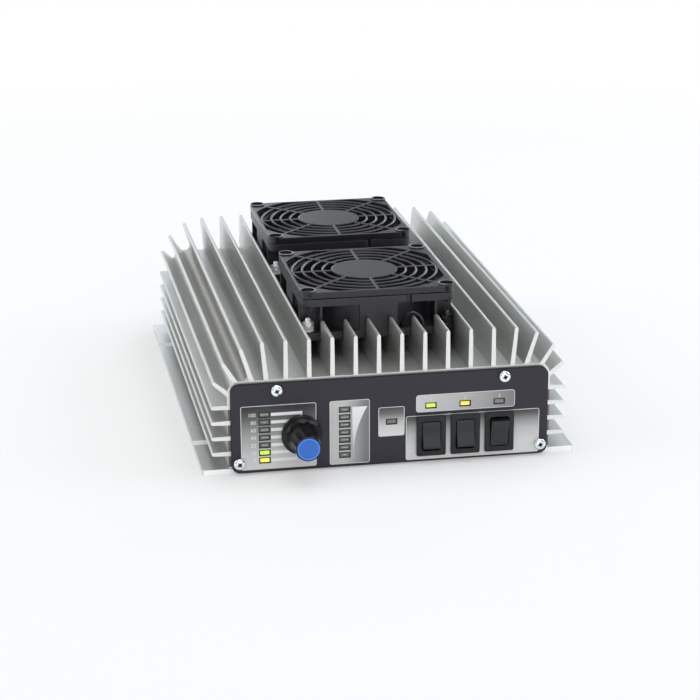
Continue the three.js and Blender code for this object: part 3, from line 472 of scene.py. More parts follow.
def extrudedAluminium(settings):
    # die lines run along the case, and the sawn ends show finer marks across
    s = settings
    material, tree, position = newMaterial("extrudedAluminium")
    lines, saw, clouds = [placeGroup(tree, surfaceGrain, Position=position, **s[key])
                          for key in ("lines", "saw", "clouds")]
    normal = tree.nodes.new('ShaderNodeNewGeometry').outputs["True Normal"]
    facing = mathNode(tree, 'ABSOLUTE', split(tree, normal)[1])
    sawn = mathNode(tree, 'GREATER_THAN', facing, 0.8)
    skin = placeGroup(tree, toneVariation, Color=(*s["color"], 1), Grain=lines, Clouds=clouds,
                      Fine=s["fine"], Broad=s["broad"])
    ends = placeGroup(tree, toneVariation, Color=(*s["cutColor"], 1), Grain=saw, Clouds=clouds,
                      Fine=s["cutFine"], Broad=s["cutBroad"])
    x, y, z = split(tree, position)
    out = mathNode(tree, 'ABSOLUTE', x)
    beside = mathNode(tree, 'MULTIPLY', mathNode(tree, 'GREATER_THAN', out, s["wall"] * mm),
                      mathNode(tree, 'LESS_THAN', out, s["wallEnd"] * mm))
    step = mathNode(tree, 'ADD', z, (s["finPitch"] / 2 - s["finZ"]) * mm)
    step = mathNode(tree, 'FLOORED_MODULO', step, s["finPitch"] * mm)
    step = mathNode(tree, 'ABSOLUTE', mathNode(tree, 'SUBTRACT', step, s["finPitch"] / 2 * mm))
    between = mathNode(tree, 'GREATER_THAN', step, s["finHalf"] * mm)
    below = mathNode(tree, 'LESS_THAN', z, s["wallTop"] * mm)
    shade = mathNode(tree, 'MULTIPLY', mathNode(tree, 'MULTIPLY', beside, below), between)
    ends = mixColors(tree, 'MIX', shade, ends, (*s["shadeColor"], 1))
    rough = ranged(tree, lines, *[s["roughness"] + change for change in s["spread"]])
    finer = mathNode(tree, 'MULTIPLY', sawn, s["roughness"] - s["cutRoughness"])
    height = mathNode(tree, 'ADD',
                      mathNode(tree, 'MULTIPLY', lines, mathNode(tree, 'SUBTRACT', 1.0, sawn)),
                      mathNode(tree, 'MULTIPLY', saw, sawn))
    surface(tree, {"Base Color": mixColors(tree, 'MIX', sawn, skin, ends),
                   "Roughness": mathNode(tree, 'SUBTRACT', rough, finer),
                   "Metallic": s["metallic"],
                   "Normal": bumped(tree, height, s["bump"], s["depth"])})
    return material


aluminium = extrudedAluminium(metalSettings)
plateMetal = finishMaterial("plateAluminium", (0.60, 0.61, 0.605), 0.4, metallic=0.9,
                            stretch=(1, 0.02, 1), scale=650, fine=0.15, broad=0.08)
plateEnd = finishMaterial("plateEnd", (0.86, 0.86, 0.865), 0.5, metallic=0.3,
                          stretch=(0.05, 1, 1), scale=900, fine=0.08, broad=0.05, bump=0.15,
                          depth=0.01)
# the troughs' metal is a darker, warmer copy of the case's aluminium, painted shade that dims
# their highlight
channelShadedMetal = finishMaterial("channelShadedAluminium", (0.47, 0.46, 0.43), 0.5, metallic=0.9,
                              stretch=(1, 0.012, 1), scale=700, fine=0.2, broad=0.12,
                              spread=0.14, bump=0.3, depth=0.03)
charcoalPaint = finishMaterial("charcoalPaint", (0.0172, 0.0152, 0.0245), 0.5, fine=0.25,
                               broad=0.1, bump=0.15, level=0.35)
panelEdge = finishMaterial("panelEdge", (0.012, 0.012, 0.015), 0.75, bump=0.25, level=0.15)
zincPlate = finishMaterial("zincPlate", (0.70, 0.745, 0.775), 0.2, metallic=1.0, scale=700,
                           fine=0.15, spread=0.14, bump=0.12, depth=0.01)
# a dark zinc for the cross recesses, painted shade
zincShade = finishMaterial("zincShade", (0.05, 0.075, 0.085), 0.45, metallic=0.6, scale=900,
                           broad=0.3, depth=0.01)
boltZinc = finishMaterial("boltZinc", (0.80, 0.82, 0.81), 0.45, metallic=0.6, scale=700,
                          fine=0.15, spread=0.14, bump=0.15, depth=0.01)
blackSteel = finishMaterial("blackSteel", (0.045, 0.047, 0.048), 0.28, metallic=0.75, scale=900,
                            fine=0.2, bump=0.15, depth=0.01)
nickelPlate = finishMaterial("nickelPlate", (0.66, 0.65, 0.62), 0.24, metallic=1.0, scale=800,
                             fine=0.12, broad=0.15, spread=0.14, bump=0.12, depth=0.01)
fanPlastic = finishMaterial("fanPlastic", (0.018, 0.0165, 0.021), 0.36, scale=1600,
                            spread=0.16, bump=0.3, level=0.45)
bladePlastic = finishMaterial("bladePlastic", (0.010, 0.010, 0.012), 0.3, scale=1200,
                              spread=0.14)
guardGrain = {"scale": 1600, "fine": 0.25, "spread": 0.08, "bump": 0.08, "depth": 0.01}
guardPlastic = finishMaterial("guardPlastic", (0.012, 0.012, 0.0145), 0.3, level=0.42,
                              **guardGrain)
# a pale grey for the tops of the collar rims, a painted highlight
guardHighlight = finishMaterial("guardHighlight", (0.16, 0.17, 0.18), 0.25, **guardGrain)
switchPlastic = finishMaterial("switchPlastic", (0.008, 0.008, 0.0095), 0.42, scale=2200,
                               fine=0.35, broad=0.15, spread=0.14, bump=0.35, level=0.32)
rockerPlastic = finishMaterial("rockerPlastic", (0.0095, 0.0115, 0.013), 0.3, scale=2400,
                               broad=0.15, spread=0.14, bump=0.3, depth=0.015, level=0.38)
knobPlastic = finishMaterial("knobPlastic", (0.004, 0.004, 0.0045), 0.24, scale=1800,
                             depth=0.012, level=0.24)
capGrain = {"fine": 0.06, "broad": 0.08, "spread": 0.1, "depth": 0.015}
capPlastic = finishMaterial("capPlastic", (0.006, 0.106, 0.465), 0.34, **capGrain)
# a paler blue for the cap's lip, a painted highlight, and a dark navy for its collar, painted
# shade
capLipHighlight = finishMaterial("capLipHighlight", (0.09, 0.27, 0.72), 0.3, **capGrain)
capShade = finishMaterial("capShade", (0.004, 0.012, 0.05), 0.35, fine=0.1, broad=0.1,
                          spread=0.1, depth=0.015, level=0.3)
leadSkin = finishMaterial("leadSkin", (0.004, 0.004, 0.005), 0.22, scale=1200, fine=0.2,
                          bump=0.25)
boardGreen = finishMaterial("boardGreen", (0.015, 0.11, 0.045), 0.36, scale=400, fine=0.5,
                            spread=0.14, bump=0.3, coat=0.3)
ferriteBlack = finishMaterial("ferriteBlack", (0.045, 0.045, 0.048), 0.7, scale=1300, fine=0.5,
                              broad=0.3, spread=0.14, bump=0.4, depth=0.03)
ceramicWhite = finishMaterial("ceramicWhite", (0.74, 0.73, 0.69), 0.55, scale=1000, fine=0.05,
                              broad=0.05, spread=0.1)
insulatorWhite = finishMaterial("insulatorWhite", (0.80, 0.79, 0.75), 0.4, scale=600, fine=0.05,
                                broad=0.05, spread=0.1, bump=0.1, depth=0.01)
inkGrain = {"scale": 2000, "spread": 0.1, "bump": 0.1, "depth": 0.005}
printWhite = finishMaterial("printWhite", (0.70, 0.70, 0.705), 0.5, fine=0.05, broad=0.04,
                            **inkGrain)
printPale = finishMaterial("printPale", (0.52, 0.52, 0.525), 0.5, fine=0.08, broad=0.05,
                           **inkGrain)
outlinePrint = finishMaterial("outlinePrint", (0.60, 0.60, 0.61), 0.5, fine=0.08, broad=0.05,
                              **inkGrain)
# a pale grey-green for the strips in the unlit lenses, a painted highlight
streakHighlight = finishMaterial("streakHighlight", (0.42, 0.48, 0.45), 0.4, broad=0.1, spread=0.1, bump=0.1,
                          depth=0.01)
slotDark = finishMaterial("slotDark", (0.020, 0.024, 0.022), 0.5, fine=0.2, broad=0.1,
                          spread=0.1, bump=0.1, depth=0.01)

inkSettings = {"sideTone": (0.62, 0.62, 0.62, 1), "stretch": (0.06, 1, 1), "scale": 1500,
               "fine": 0.12, "roughness": (0.42, 0.54), "level": 0.35, "bump": 0.1, "depth": 0.01}


def toneRamp(tree, position, axis, span, stops):
    # a tone that runs along one axis of the panel
    share = ranged(tree, split(tree, position)[axis], 0, 1, [end * mm for end in span])
    node = newNode(tree, 'ShaderNodeValToRGB', {0: share})
    ends = zip(node.color_ramp.elements, (stops[0], stops[-1]))
    for element, (place, tone) in ends:
        element.position, element.color = place, (tone, tone, tone, 1)
    for place, tone in stops[1:-1]:
        node.color_ramp.elements.new(place).color = (tone, tone, tone, 1)
    return node.outputs[0]


def gradientPrint(name, field, ink):
    # a printed field whose tone runs from one edge to the other, with a second fade across it
    material, tree, position = newMaterial(name)
    axis, across = field["axis"], 2 - field["axis"]
    spans = (field.get("x"), None, field["z"])
    tone = toneRamp(tree, position, axis, spans[axis], field["stops"])
    if "side" in field:
        side = toneRamp(tree, position, across, spans[across], field["side"])
        tone = mixColors(tree, 'MIX', side, tone, ink["sideTone"])
    grain = placeGroup(tree, surfaceGrain, Position=position, Stretch=ink["stretch"],
                       Scale=ink["scale"], Softness=0.5)
    tone = mixColors(tree, 'MULTIPLY', 1.0, tone, field.get("tint", (1, 1, 1, 1)))
    surface(tree, {
        "Base Color": placeGroup(tree, toneVariation, Color=tone, Grain=grain, Clouds=0.5,
                                 Fine=ink["fine"], Broad=0.0),
        "Roughness": ranged(tree, grain, *ink["roughness"]), "Specular IOR Level": ink["level"],
        "Normal": bumped(tree, grain, ink["bump"], ink["depth"])})
    return material


glassSettings = {"scale": 600, "roughness": 0.25, "fine": 0.3, "glowFine": 0.25, "glow": 0.55,
                 "bump": 0.1, "depth": 0.02}


def lensMaterial(name, color, glow=None, settings=glassSettings):
    # a diffuse lens, which shines by itself where its lamp is lit
    s = settings
    material, tree, position = newMaterial(name)
    grain = placeGroup(tree, surfaceGrain, Position=position, Stretch=(1, 1, 1),
                       Scale=s["scale"], Softness=0.5)
    inputs = {"Base Color": placeGroup(tree, toneVariation, Color=(*color, 1), Grain=grain,
                                       Clouds=0.5, Fine=s["fine"], Broad=0.0),
              "Roughness": s["roughness"], "Normal": bumped(tree, grain, s["bump"], s["depth"])}
    if glow:
        inputs["Emission Color"] = placeGroup(tree, toneVariation, Color=(*glow, 1), Grain=grain,
                                              Clouds=0.5, Fine=s["glowFine"], Broad=0.0)
        inputs["Emission Strength"] = s["glow"]
    surface(tree, inputs)
    return material


darkLens = lensMaterial("darkLens", (0.115, 0.135, 0.125))
greyLens = lensMaterial("greyLens", (0.20, 0.19, 0.185))
pinkLens = lensMaterial("pinkLens", (0.17, 0.13, 0.14))
limeLens = lensMaterial("limeLens", (0.45, 0.80, 0.03), (0.55, 0.95, 0.03))
yellowLens = lensMaterial("yellowLens", (0.80, 0.76, 0.05), (1.0, 0.92, 0.06))
amberLens = lensMaterial("amberLens", (0.90, 0.60, 0.03), (1.0, 0.72, 0.04))
print("stage 3: materials made")


# Case and plates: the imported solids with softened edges

def softNode(node, material, width, segments=2, angle=35, clamp=True):
    piece = copyOfNode(node, node + "Dressed")
    roundEdges(piece, width, segments, angle, clamp)
    dress(piece, material, node)
    return piece


caseSettings = {"edge": 0.25, "finAngle": 55, "plateEdge": 0.3, "panelEdge": 0.25, "facing": 0.8}

softNode("heatsink", aluminium, caseSettings["edge"], 2, caseSettings["finAngle"])
painted(softNode("base_plate", plateMetal, caseSettings["plateEdge"]), plateEnd,
        lambda face: abs(face.normal.y) > caseSettings["facing"])
painted(softNode("front_panel", charcoalPaint, caseSettings["panelEdge"]), panelEdge,
        lambda face: face.normal.y >= -caseSettings["facing"])

# the channel above each corner of the case has a round bottom, in widths out from the case and up
channelSettings = {
    "outX": 82.0, "baseZ": 48.4, "centre": (-6.99, 2.98), "radius": 2.98, "start": 162,
    "end": 328, "steps": 22, "lips": ((0.35, -0.2), (-0.35, -0.1)),
    "foot": ((-4.9, -0.5), (-11.4, -0.5)), "half": 123.48,
}


def roundChannel(name, side, settings):
    s = settings
    out, up = s["centre"]
    turns = [math.radians(s["start"] + (s["end"] - s["start"]) * step / s["steps"])
             for step in range(s["steps"] + 1)]
    bow = [(out + s["radius"] * math.cos(turn), up + s["radius"] * math.sin(turn))
           for turn in turns]
    lips = [(x + a, z + b) for (x, z), (a, b) in zip((bow[-1], bow[0]), s["lips"])]
    shape = [*bow, lips[0], *s["foot"], lips[1]]
    points = [(side * (s["outX"] + x), -s["half"], s["baseZ"] + z) for x, z in shape]
    piece = outlinePiece(name, points, (0, 2 * s["half"], 0))
    # the trough takes the darker copy of the aluminium, painted shade
    dress(shaded(piece, 30), channelShadedMetal)


for name, side in (("leftChannel", -1), ("rightChannel", 1)):
    roundChannel(name, side, channelSettings)
print("stage 4: case dressed")


# Prints on the front panel

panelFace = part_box("front_panel")[0][1] / mm

windowSettings = [
    {"name": "levelWindow", "x": (-75.9, -38.0), "z": (2.5, 36.0), "corner": 1.0, "axis": 2,
     "stops": [(0.0, 0.58), (0.22, 0.50), (0.38, 0.38), (0.55, 0.28), (0.70, 0.17), (0.78, 0.11),
               (0.86, 0.058), (0.94, 0.026), (1.0, 0.017)],
     "side": [(0.0, 0.0), (0.35, 0.02), (0.62, 0.0), (0.9, 0.0), (1.0, 0.03)]},
    {"name": "warningWindow", "x": (-6.6, 6.7), "z": (15.6, 31.0), "corner": 1.0, "axis": 2,
     "stops": [(0.0, 0.60), (0.3, 0.54), (0.5, 0.40), (0.75, 0.14), (1.0, 0.045)]},
    {"name": "indicatorStrip", "x": (12.6, 63.4), "z": (27.1, 36.2), "corner": 1.5, "axis": 0,
     "stops": [(0.0, 0.50), (0.4, 0.40), (0.7, 0.30), (1.0, 0.17)]},
    {"name": "switchWindow", "x": (7.4, 76.3), "z": (2.0, 25.4), "corner": 1.2, "axis": 2,
     "stops": [(0.0, 0.60), (0.3, 0.56), (0.55, 0.44), (0.75, 0.26), (0.9, 0.09), (1.0, 0.03)]},
    {"name": "outputWindow", "x": (-31.3, -11.0), "z": (2.4, 36.0), "corner": 1.0, "axis": 0,
     "stops": [(0.0, 0.46), (0.35, 0.46), (0.455, 0.41), (0.55, 0.355), (0.65, 0.30),
               (0.76, 0.235), (0.87, 0.18), (1.0, 0.145)]},
]
printSettings = {"line": 0.32, "thick": 0.05, "bite": 0.02}
# what is printed on a window lies one layer above it
printFront = panelFace - 1.5 * printSettings["thick"]


def printedWindow(settings, shared):
    (left, right), (low, high) = settings["x"], settings["z"]
    centre = ((left + right) / 2, panelFace, (low + high) / 2)
    clearSelection()
    bpy.ops.mesh.primitive_plane_add(size=1, location=[c * mm for c in centre],
                                     rotation=(math.radians(90), 0, 0))
    bpy.context.object.scale = ((right - left) * mm, (high - low) * mm, 1)
    piece = settled(settings["name"])
    editAll()
    bpy.ops.mesh.bevel(offset=settings["corner"] * mm, segments=5, affect='VERTICES')
    bpy.ops.mesh.select_all(action='SELECT')
    bpy.ops.mesh.inset(thickness=shared["line"] * mm, use_boundary=True)
    bpy.ops.object.mode_set(mode='OBJECT')
    piece.data.materials.append(outlinePrint)
    painted(piece, gradientPrint(settings["name"] + "Print", settings, inkSettings),
            lambda face: len(face.vertices) > 4)
    return applied(piece, 'SOLIDIFY', thickness=(shared["thick"] + shared["bite"]) * mm,
                   offset=0, use_even_offset=True)


levelNodes = ("input_level_leds", "output_level_leds")
singleNodes = ("led_power", "led_bypass", "led_transmit", "led_protection")
lampHoles = {"width": 5.9, "height": 3.2, "margin": 1.4, "pitch": 4.0, "count": 7}


def lampsOf(node):
    # the middle of each lamp that a node holds, from the top down
    x, y, z = middleOf(node)
    if node in singleNodes:
        return [(x, z)]
    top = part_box(node)[1][2] / mm - lampHoles["height"] / 2 - lampHoles["margin"]
    return [(x, top - lampHoles["pitch"] * number) for number in range(lampHoles["count"])]


holeSettings = {
    "depth": 2, "overlap": 0.6,
    "round": (("control_nut", 8.0), ("panel_screw_lower_left", 2.5),
              ("panel_screw_lower_right", 2.5)),
}


def holeCutters(settings):
    depth = settings["depth"]
    cutters = [boxPiece("lampHole", (lampHoles["width"], depth, lampHoles["height"]),
                        (x, panelFace, z))
               for node in (*levelNodes, *singleNodes) for x, z in lampsOf(node)]
    for node in ("amplifier_switch_body", "preamp_switch_body", "mode_switch_body"):
        width, deep, height = [(high - low) / mm - settings["overlap"]
                               for low, high in zip(*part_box(node))]
        x, y, z = middleOf(node)
        cutters.append(boxPiece("switchHole", (width, depth, height), (x, panelFace, z)))
    for node, radius in settings["round"]:
        x, y, z = middleOf(node)
        cutters.append(rodPiece("roundHole", radius, panelFace - depth / 2,
                                panelFace + depth / 2, 32, (x, z), 'Y'))
    return cutters


def touches(piece, cutter):
    spans = [[(min(corner[i] for corner in each.bound_box),
               max(corner[i] for corner in each.bound_box)) for i in range(3)]
             for each in (piece, cutter)]
    return all(a[0] < b[1] and a[1] > b[0] for a, b in zip(*spans))


cutters = holeCutters(holeSettings)
for settings in windowSettings:
    window = printedWindow(settings, printSettings)
    cut(window, [cutter for cutter in cutters if touches(window, cutter)], keep=True)
    dress(window, outlinePrint)
for cutter in cutters:
    bpy.data.objects.remove(cutter)


def printPatch(name, x, z, size):
    return boxPiece(name, (size[0], printSettings["thick"], size[1]), (x, printFront, z))


barSettings = {
    "gap": 0.25, "thick": 1.6, "ends": (-45.0, -46.5, -48.5, -49.2, -49.4, -49.0, -48.0),
    "tick": (0.9, 2.2), "tickDrop": 0.25,
}


def levelBars(settings):
    s = settings
    bars = []
    for (x, z), end in zip(lampsOf("input_level_leds"), s["ends"]):
        start = x + lampHoles["width"] / 2 + s["gap"]
        bars.append(printPatch("levelBars", (start + end) / 2, z, (end - start, s["thick"])))
    x, z = lampsOf("input_level_leds")[0]
    tick = printPatch("levelTick", s["ends"][0] - s["tick"][0] / 2, z - s["tickDrop"], s["tick"])
    dress(combined(bars[0], [tick, *bars[1:]], 'UNION'), printWhite)


levelBars(barSettings)

wedgeSettings = {
    "left": (-19.9, -19.6), "right": -12.2, "z": (4.8, 32.3), "steps": 32, "power": 2.3,
    "least": 0.3, "axis": 2, "tint": (0.98, 0.98, 1.0, 1),
    "stops": [(0.0, 0.42), (0.25, 0.48), (0.45, 0.60), (0.7, 0.68), (1.0, 0.74)],
}


def outputWedge(settings):
    # the white horn beside the output lamps: straight on the left, hollow on the right
    (low, high), (topLeft, footLeft) = settings["z"], settings["left"]
    clearSelection()
    bpy.ops.mesh.primitive_grid_add(x_subdivisions=1, y_subdivisions=settings["steps"], size=1)
    piece = bpy.context.object
    piece.name = "outputWedge"
    for point in piece.data.vertices:
        side, share = point.co.x + 0.5, point.co.y + 0.5
        left = footLeft + (topLeft - footLeft) * share
        foot = footLeft + settings["least"]
        right = foot + (settings["right"] - foot) * share ** settings["power"]
        point.co = Vector((left + side * (right - left), printFront,
                           low + share * (high - low))) * mm
    applied(piece, 'SOLIDIFY', thickness=printSettings["thick"] * mm, offset=0)
    dress(piece, gradientPrint("hornPrint", settings, inkSettings))


outputWedge(wedgeSettings)

bracketSettings = {"x": (-28.6, -24.0), "z": (4.6, 33.6), "line": 0.3}


def outputBracket(settings):
    (left, right), (low, high), line = settings["x"], settings["z"], settings["line"]
    upright = printPatch("outputBracket", left, (low + high) / 2, (line, high - low))
    arms = [printPatch("bracketArm", (left + right) / 2, z, (right - left, line))
            for z in (high, low)]
    dress(combined(upright, arms, 'UNION'), printPale)


outputBracket(bracketSettings)

scaleNumbers = {"words": ("100", "80", "60", "40", "20", "10", "5"), "right": -68.3, "size": 2.7,
                "align": 'RIGHT'}
switchNumbers = {"words": ("1", "2", "3"), "size": 2.3, "lift": 3.0, "align": 'CENTER'}


def printedNumbers(settings, places):
    for word, (x, z) in zip(settings["words"], places):
        clearSelection()
        bpy.ops.object.text_add(rotation=(math.radians(90), 0, 0))
        text = bpy.context.object.data
        text.body = word
        text.size = settings["size"] * mm
        text.align_x = settings["align"]
        text.align_y = 'CENTER'
        text.extrude = printSettings["thick"] / 2 * mm
        text.resolution_u = 3
        bpy.ops.object.convert(target='MESH')
        piece = settled("number" + word)
        piece.data.transform(moved(x, printFront, z))
        dress(piece, printWhite)


printedNumbers(scaleNumbers, [(scaleNumbers["right"], z) for x, z in lampsOf("input_level_leds")])
printedNumbers(switchNumbers, [(x, z + switchNumbers["lift"]) for node in singleNodes[:3]
                               for x, z in lampsOf(node)])
print("stage 5: panel printed")


# Lamps: a dark well in the panel, a bulged lens and, where unlit, a pale strip inside it as a
# painted highlight

lensSettings = {"width": 4.7, "height": 2.05, "depth": 1.2, "edge": 0.35, "recess": 0.1,
                "well": 0.12, "streak": (3.7, 0.1, 0.3), "streakEdge": 0.04, "streakLift": -0.02,
                "streakReach": 0.01}


def lampColumn(node, lit, streaks, settings):
    # lit gives the lens of each lamp that shines, and the next argument the share of the full
    # width of each unlit lamp's pale strip, a painted highlight
    s = settings
    softNode(node, slotDark, s["well"], 1)
    front = panelFace + s["recess"]
    parts = []
    for number, (x, z) in enumerate(lampsOf(node)):
        lens = boxPiece(f"{node}Lens{number}", (s["width"], s["depth"], s["height"]),
                        (x, front + s["depth"] / 2, z))
        dress(roundEdges(lens, s["edge"], 4), lit.get(number, darkLens))
        # each unlit lens gets a pale strip just behind its face, a painted highlight
        if number not in lit:
            width, deep, height = s["streak"]
            streak = boxPiece(f"{node}Streaks", (width * streaks.get(number, 1.0), deep, height),
                            (x, front - s["streakReach"], z + s["streakLift"]))
            parts.append(roundEdges(streak, s["streakEdge"], 1))
    if parts:
        dress(gathered(parts[0], parts[1:]), streakHighlight)


for node, lit, streaks in (
        ("input_level_leds", {5: limeLens, 6: yellowLens}, {0: 1.1, 1: 0.5, 3: 0.9, 4: 0.75}),
        ("output_level_leds", {}, {0: 0.6, 3: 0.8, 5: 0.9, 6: 0.5}),
        ("led_power", {0: limeLens}, {}), ("led_bypass", {0: amberLens}, {}),
        ("led_transmit", {0: greyLens}, {}), ("led_protection", {0: pinkLens}, {})):
    lampColumn(node, lit, streaks, lensSettings)
print("stage 6: lamps in")


# Rocker switches: a bezel with a rounded opening, and a key that curves away at both ends

switchSettings = {
    "bezel": (15.0, 1.6, 21.0), "corner": 0.9, "body": (12.6, 15.0, 18.4), "bodyOverlap": 0.2,
    "well": (9.6, 9.0, 15.4), "wellCorner": 1.2, "lift": 0.3, "lug": (0.8, 6.0, 4.8),
    "lugs": (-6.3, 0, 6.3), "lugOverlap": 0.4, "lugEdge": 0.15, "edge": 0.45, "gap": 0.2,
    "middle": 14.7, "keyCorner": 1.15, "keyEdge": 0.35,
    # height from the middle of the key and reach in front of its pivot
    "keyFace": ((-7.05, -2.0), (-7.05, 3.4), (-6.98, 3.8), (-6.8, 4.08), (-6.5, 4.26),
                (-6.05, 4.34), (-5.4, 4.32), (-4.4, 4.16), (-3.3, 3.9), (-2.2, 3.67),
                (-1.1, 3.52), (0.0, 3.47), (1.1, 3.52), (2.2, 3.67), (3.3, 3.9), (4.4, 4.16),
                (5.4, 4.32), (6.05, 4.34), (6.5, 4.26), (6.8, 4.08), (6.98, 3.8), (7.05, 3.4),
                (7.05, -2.0), (1.5, -4.9), (-1.5, -4.9)),
}


def roundedBlock(name, size, centre, corner):
    return softCorners(boxPiece(name, size, centre), corner, 1, 6)


def switchHousing(name, x, settings):
    s = settings
    seat = panelFace - s["lift"]
    front = seat - s["bezel"][1]
    z = s["middle"]
    wellWidth, wellDepth, wellHeight = s["well"]
    bodyDepth = s["body"][1]
    bezel = roundedBlock(name, s["bezel"], (x, seat - s["bezel"][1] / 2, z), s["corner"])
    body = boxPiece("switchBody", s["body"], (x, seat + bodyDepth / 2 - s["bodyOverlap"], z))
    combined(bezel, [body], 'UNION')
    cut(bezel, [roundedBlock("well", (wellWidth, wellDepth + 1, wellHeight),
                             (x, front + wellDepth / 2 - 0.5, z), s["wellCorner"])])
    roundEdges(bezel, s["edge"], 4, 40, False)
    lugY = seat + bodyDepth + s["lug"][1] / 2 - s["lugOverlap"]
    lugs = [roundEdges(boxPiece("lug", s["lug"], (x, lugY, z + shift)), s["lugEdge"])
            for shift in s["lugs"]]
    return gathered(bezel, lugs)


def switchKey(name, x, pivot, tilt, settings):
    s = settings
    width = s["well"][0] - 2 * s["gap"]
    points = [(-width / 2, -reach, height) for height, reach in s["keyFace"]]
    key = outlinePiece(name, points, (width, 0, 0))
    softCorners(key, s["keyCorner"], 1, 5)
    roundEdges(key, s["keyEdge"], 4, 50, False)
    key.data.transform(moved(x, pivot, s["middle"]) @ turned(tilt, 'X'))
    return key


joints = {joint["child"]: joint for joint in frame["record"]["behaviour"]["joints"]}
for name in ("amplifier", "preamp", "mode"):
    x = middleOf(f"{name}_switch_body")[0]
    hinge = joints[f"{name}_rocker"]
    dress(switchHousing(f"{name}Housing", x, switchSettings), switchPlastic,
          f"{name}_switch_body")
    key = switchKey(f"{name}Key", x, hinge["pos_m"][1] / mm, -sum(hinge["range_deg"]) / 2,
                    switchSettings)
    dress(key, rockerPlastic, f"{name}_rocker")
print("stage 7: switches dressed")


# Gain knob: a smooth skirt that flares to the panel, a fluted grip and a seat for the cap

knobX, knobY, knobZ = middleOf("gain_knob")
knobSettings = {
    "back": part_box("gain_knob")[1][1] / mm, "flutes": 12, "perFlute": 14, "depth": 0.55,
    "hollow": 2.2, "inside": 5.8,
    # reach from the panel, radius, share of the flutes' depth
    "profile": ((0.0, 9.9, 0), (0.25, 10.2, 0), (1.7, 10.25, 0), (1.95, 10.15, 0),
                (2.2, 9.85, 0), (2.6, 9.3, 0), (3.1, 8.75, 0), (3.7, 8.3, 0.1), (4.4, 8.0, 0.5),
                (5.2, 7.8, 0.9), (6.2, 7.68, 1), (12.0, 7.25, 1), (16.0, 6.98, 1),
                (20.2, 6.72, 1), (20.9, 6.6, 0.9), (21.3, 6.4, 0.6), (21.6, 6.1, 0.3)),
    "seat": ((21.6, 5.72), (20.5, 5.7), (20.5, 0.5)),
    # radius, depth and sides of the hollow behind the skirt and of the shaft's bore
    "bores": ((7.2, 4.6, 64), (3.35, 15.0, 32)),
}


def gainKnob(settings):
    s = settings
    outline = [(reach, radius) for reach, radius, share in s["profile"]]
    piece = turnedPiece("gainKnobGrip", outline + list(s["seat"]), s["flutes"] * s["perFlute"])
    # press the flutes in, each a broad hollow between two narrow ridges
    for point in piece.data.vertices:
        radius = math.hypot(point.co.x, point.co.y) / mm
        reach = point.co.z / mm
        if radius < s["inside"]:
            continue
        share = 0.0
        for (r0, _, s0), (r1, _, s1) in zip(s["profile"], s["profile"][1:]):
            if r0 - 0.01 <= reach <= r1 + 0.01:
                share = s0 + (s1 - s0) * (reach - r0) / (r1 - r0)
        turn = math.atan2(point.co.y, point.co.x) / (2 * math.pi) * s["flutes"]
        hollow = 1 - (2 * abs(turn - round(turn))) ** s["hollow"]
        scale = 1 - s["depth"] * share * hollow / radius
        point.co.x *= scale
        point.co.y *= scale
    piece.data.transform(moved(knobX, s["back"], knobZ) @ turned(90, 'X'))
    cut(piece, [rodPiece("knobBore", radius, s["back"] - deep, s["back"] + 2, sides,
                         (knobX, knobZ), 'Y')
                for radius, deep, sides in s["bores"]])
    dress(shaded(piece, 40), knobPlastic, "gain_knob")


gainKnob(knobSettings)

capSettings = {
    "outline": ((0.0, 5.5), (0.86, 5.6), (0.88, 6.1), (0.95, 6.26), (1.08, 6.26), (1.18, 6.15),
                (1.22, 5.64), (1.36, 5.61), (1.45, 5.5), (1.5, 5.32), (1.47, 5.14),
                (1.38, 4.98), (1.33, 4.7), (1.32, 3.0), (1.32, 0.2)),
    "collar": 5.63, "lip": (5.0, 5.34),
}


def knobCap(settings):
    # the lip round the face is painted paler as a highlight, and the collar behind it painted dark
    # blue as shade
    def reach(face):
        return math.hypot(face.center.x / mm - knobX, face.center.z / mm - knobZ)
    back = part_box("knob_cap")[1][1] / mm
    piece = turnedPiece("knobCapBlue", settings["outline"], 128, '-Y', (knobX, back, knobZ))
    piece.data.materials.append(capPlastic)
    painted(piece, capLipHighlight, lambda face: settings["lip"][0] < reach(face) < settings["lip"][1])
    painted(piece, capShade, lambda face: reach(face) > settings["collar"])
    dress(shaded(piece, 40), capPlastic, "knob_cap")


knobCap(capSettings)
for node in ("gain_control", "control_shaft", "control_nut"):
    softNode(node, nickelPlate, 0.15)
print("stage 8: knob turned")


# Screws: a domed pan head with a cross recess, on a threaded shank

def threadOutline(start, end, outer, depth, pitch):
    # the rings of a thread, root and crest in turn
    outline = []
    turns = int((end - start) / pitch)
    for number in range(turns):
        reach = start + number * pitch
        outline += [(reach, outer - depth), (reach + pitch * 0.4, outer),
                    (reach + pitch * 0.6, outer)]
    return outline + [(start + turns * pitch, outer - depth)]


panelScrewSettings = {"head": 3.02, "height": 1.9, "shank": 1.5, "length": 13.0, "arm": 2.0,
                      "armWidth": 0.62, "deep": 1.35}
guardScrewSettings = {"head": 2.9, "height": 1.6, "shank": 1.6, "length": 7.5, "arm": 1.8,
                      "armWidth": 0.66, "deep": 1.25}
# both kinds share a thread and, as shares of a head or of a cross's arm, their dome and recess
screwShape = {
    "threadStart": 0.7, "threadEnd": -0.4, "threadDepth": 0.18, "pitch": 0.7, "tip": 0.6,
    "rim": (0.12, 0.96), "taper": (0.42, 0.7), "heart": (0.28, 0.62), "recess": 1.05,
    "flat": 0.8, "darkBelow": 0.75,
    "dome": ((0.35, 1), (0.55, 0.965), (0.72, 0.89), (0.86, 0.77), (0.96, 0.56), (1, 0.25)),
}


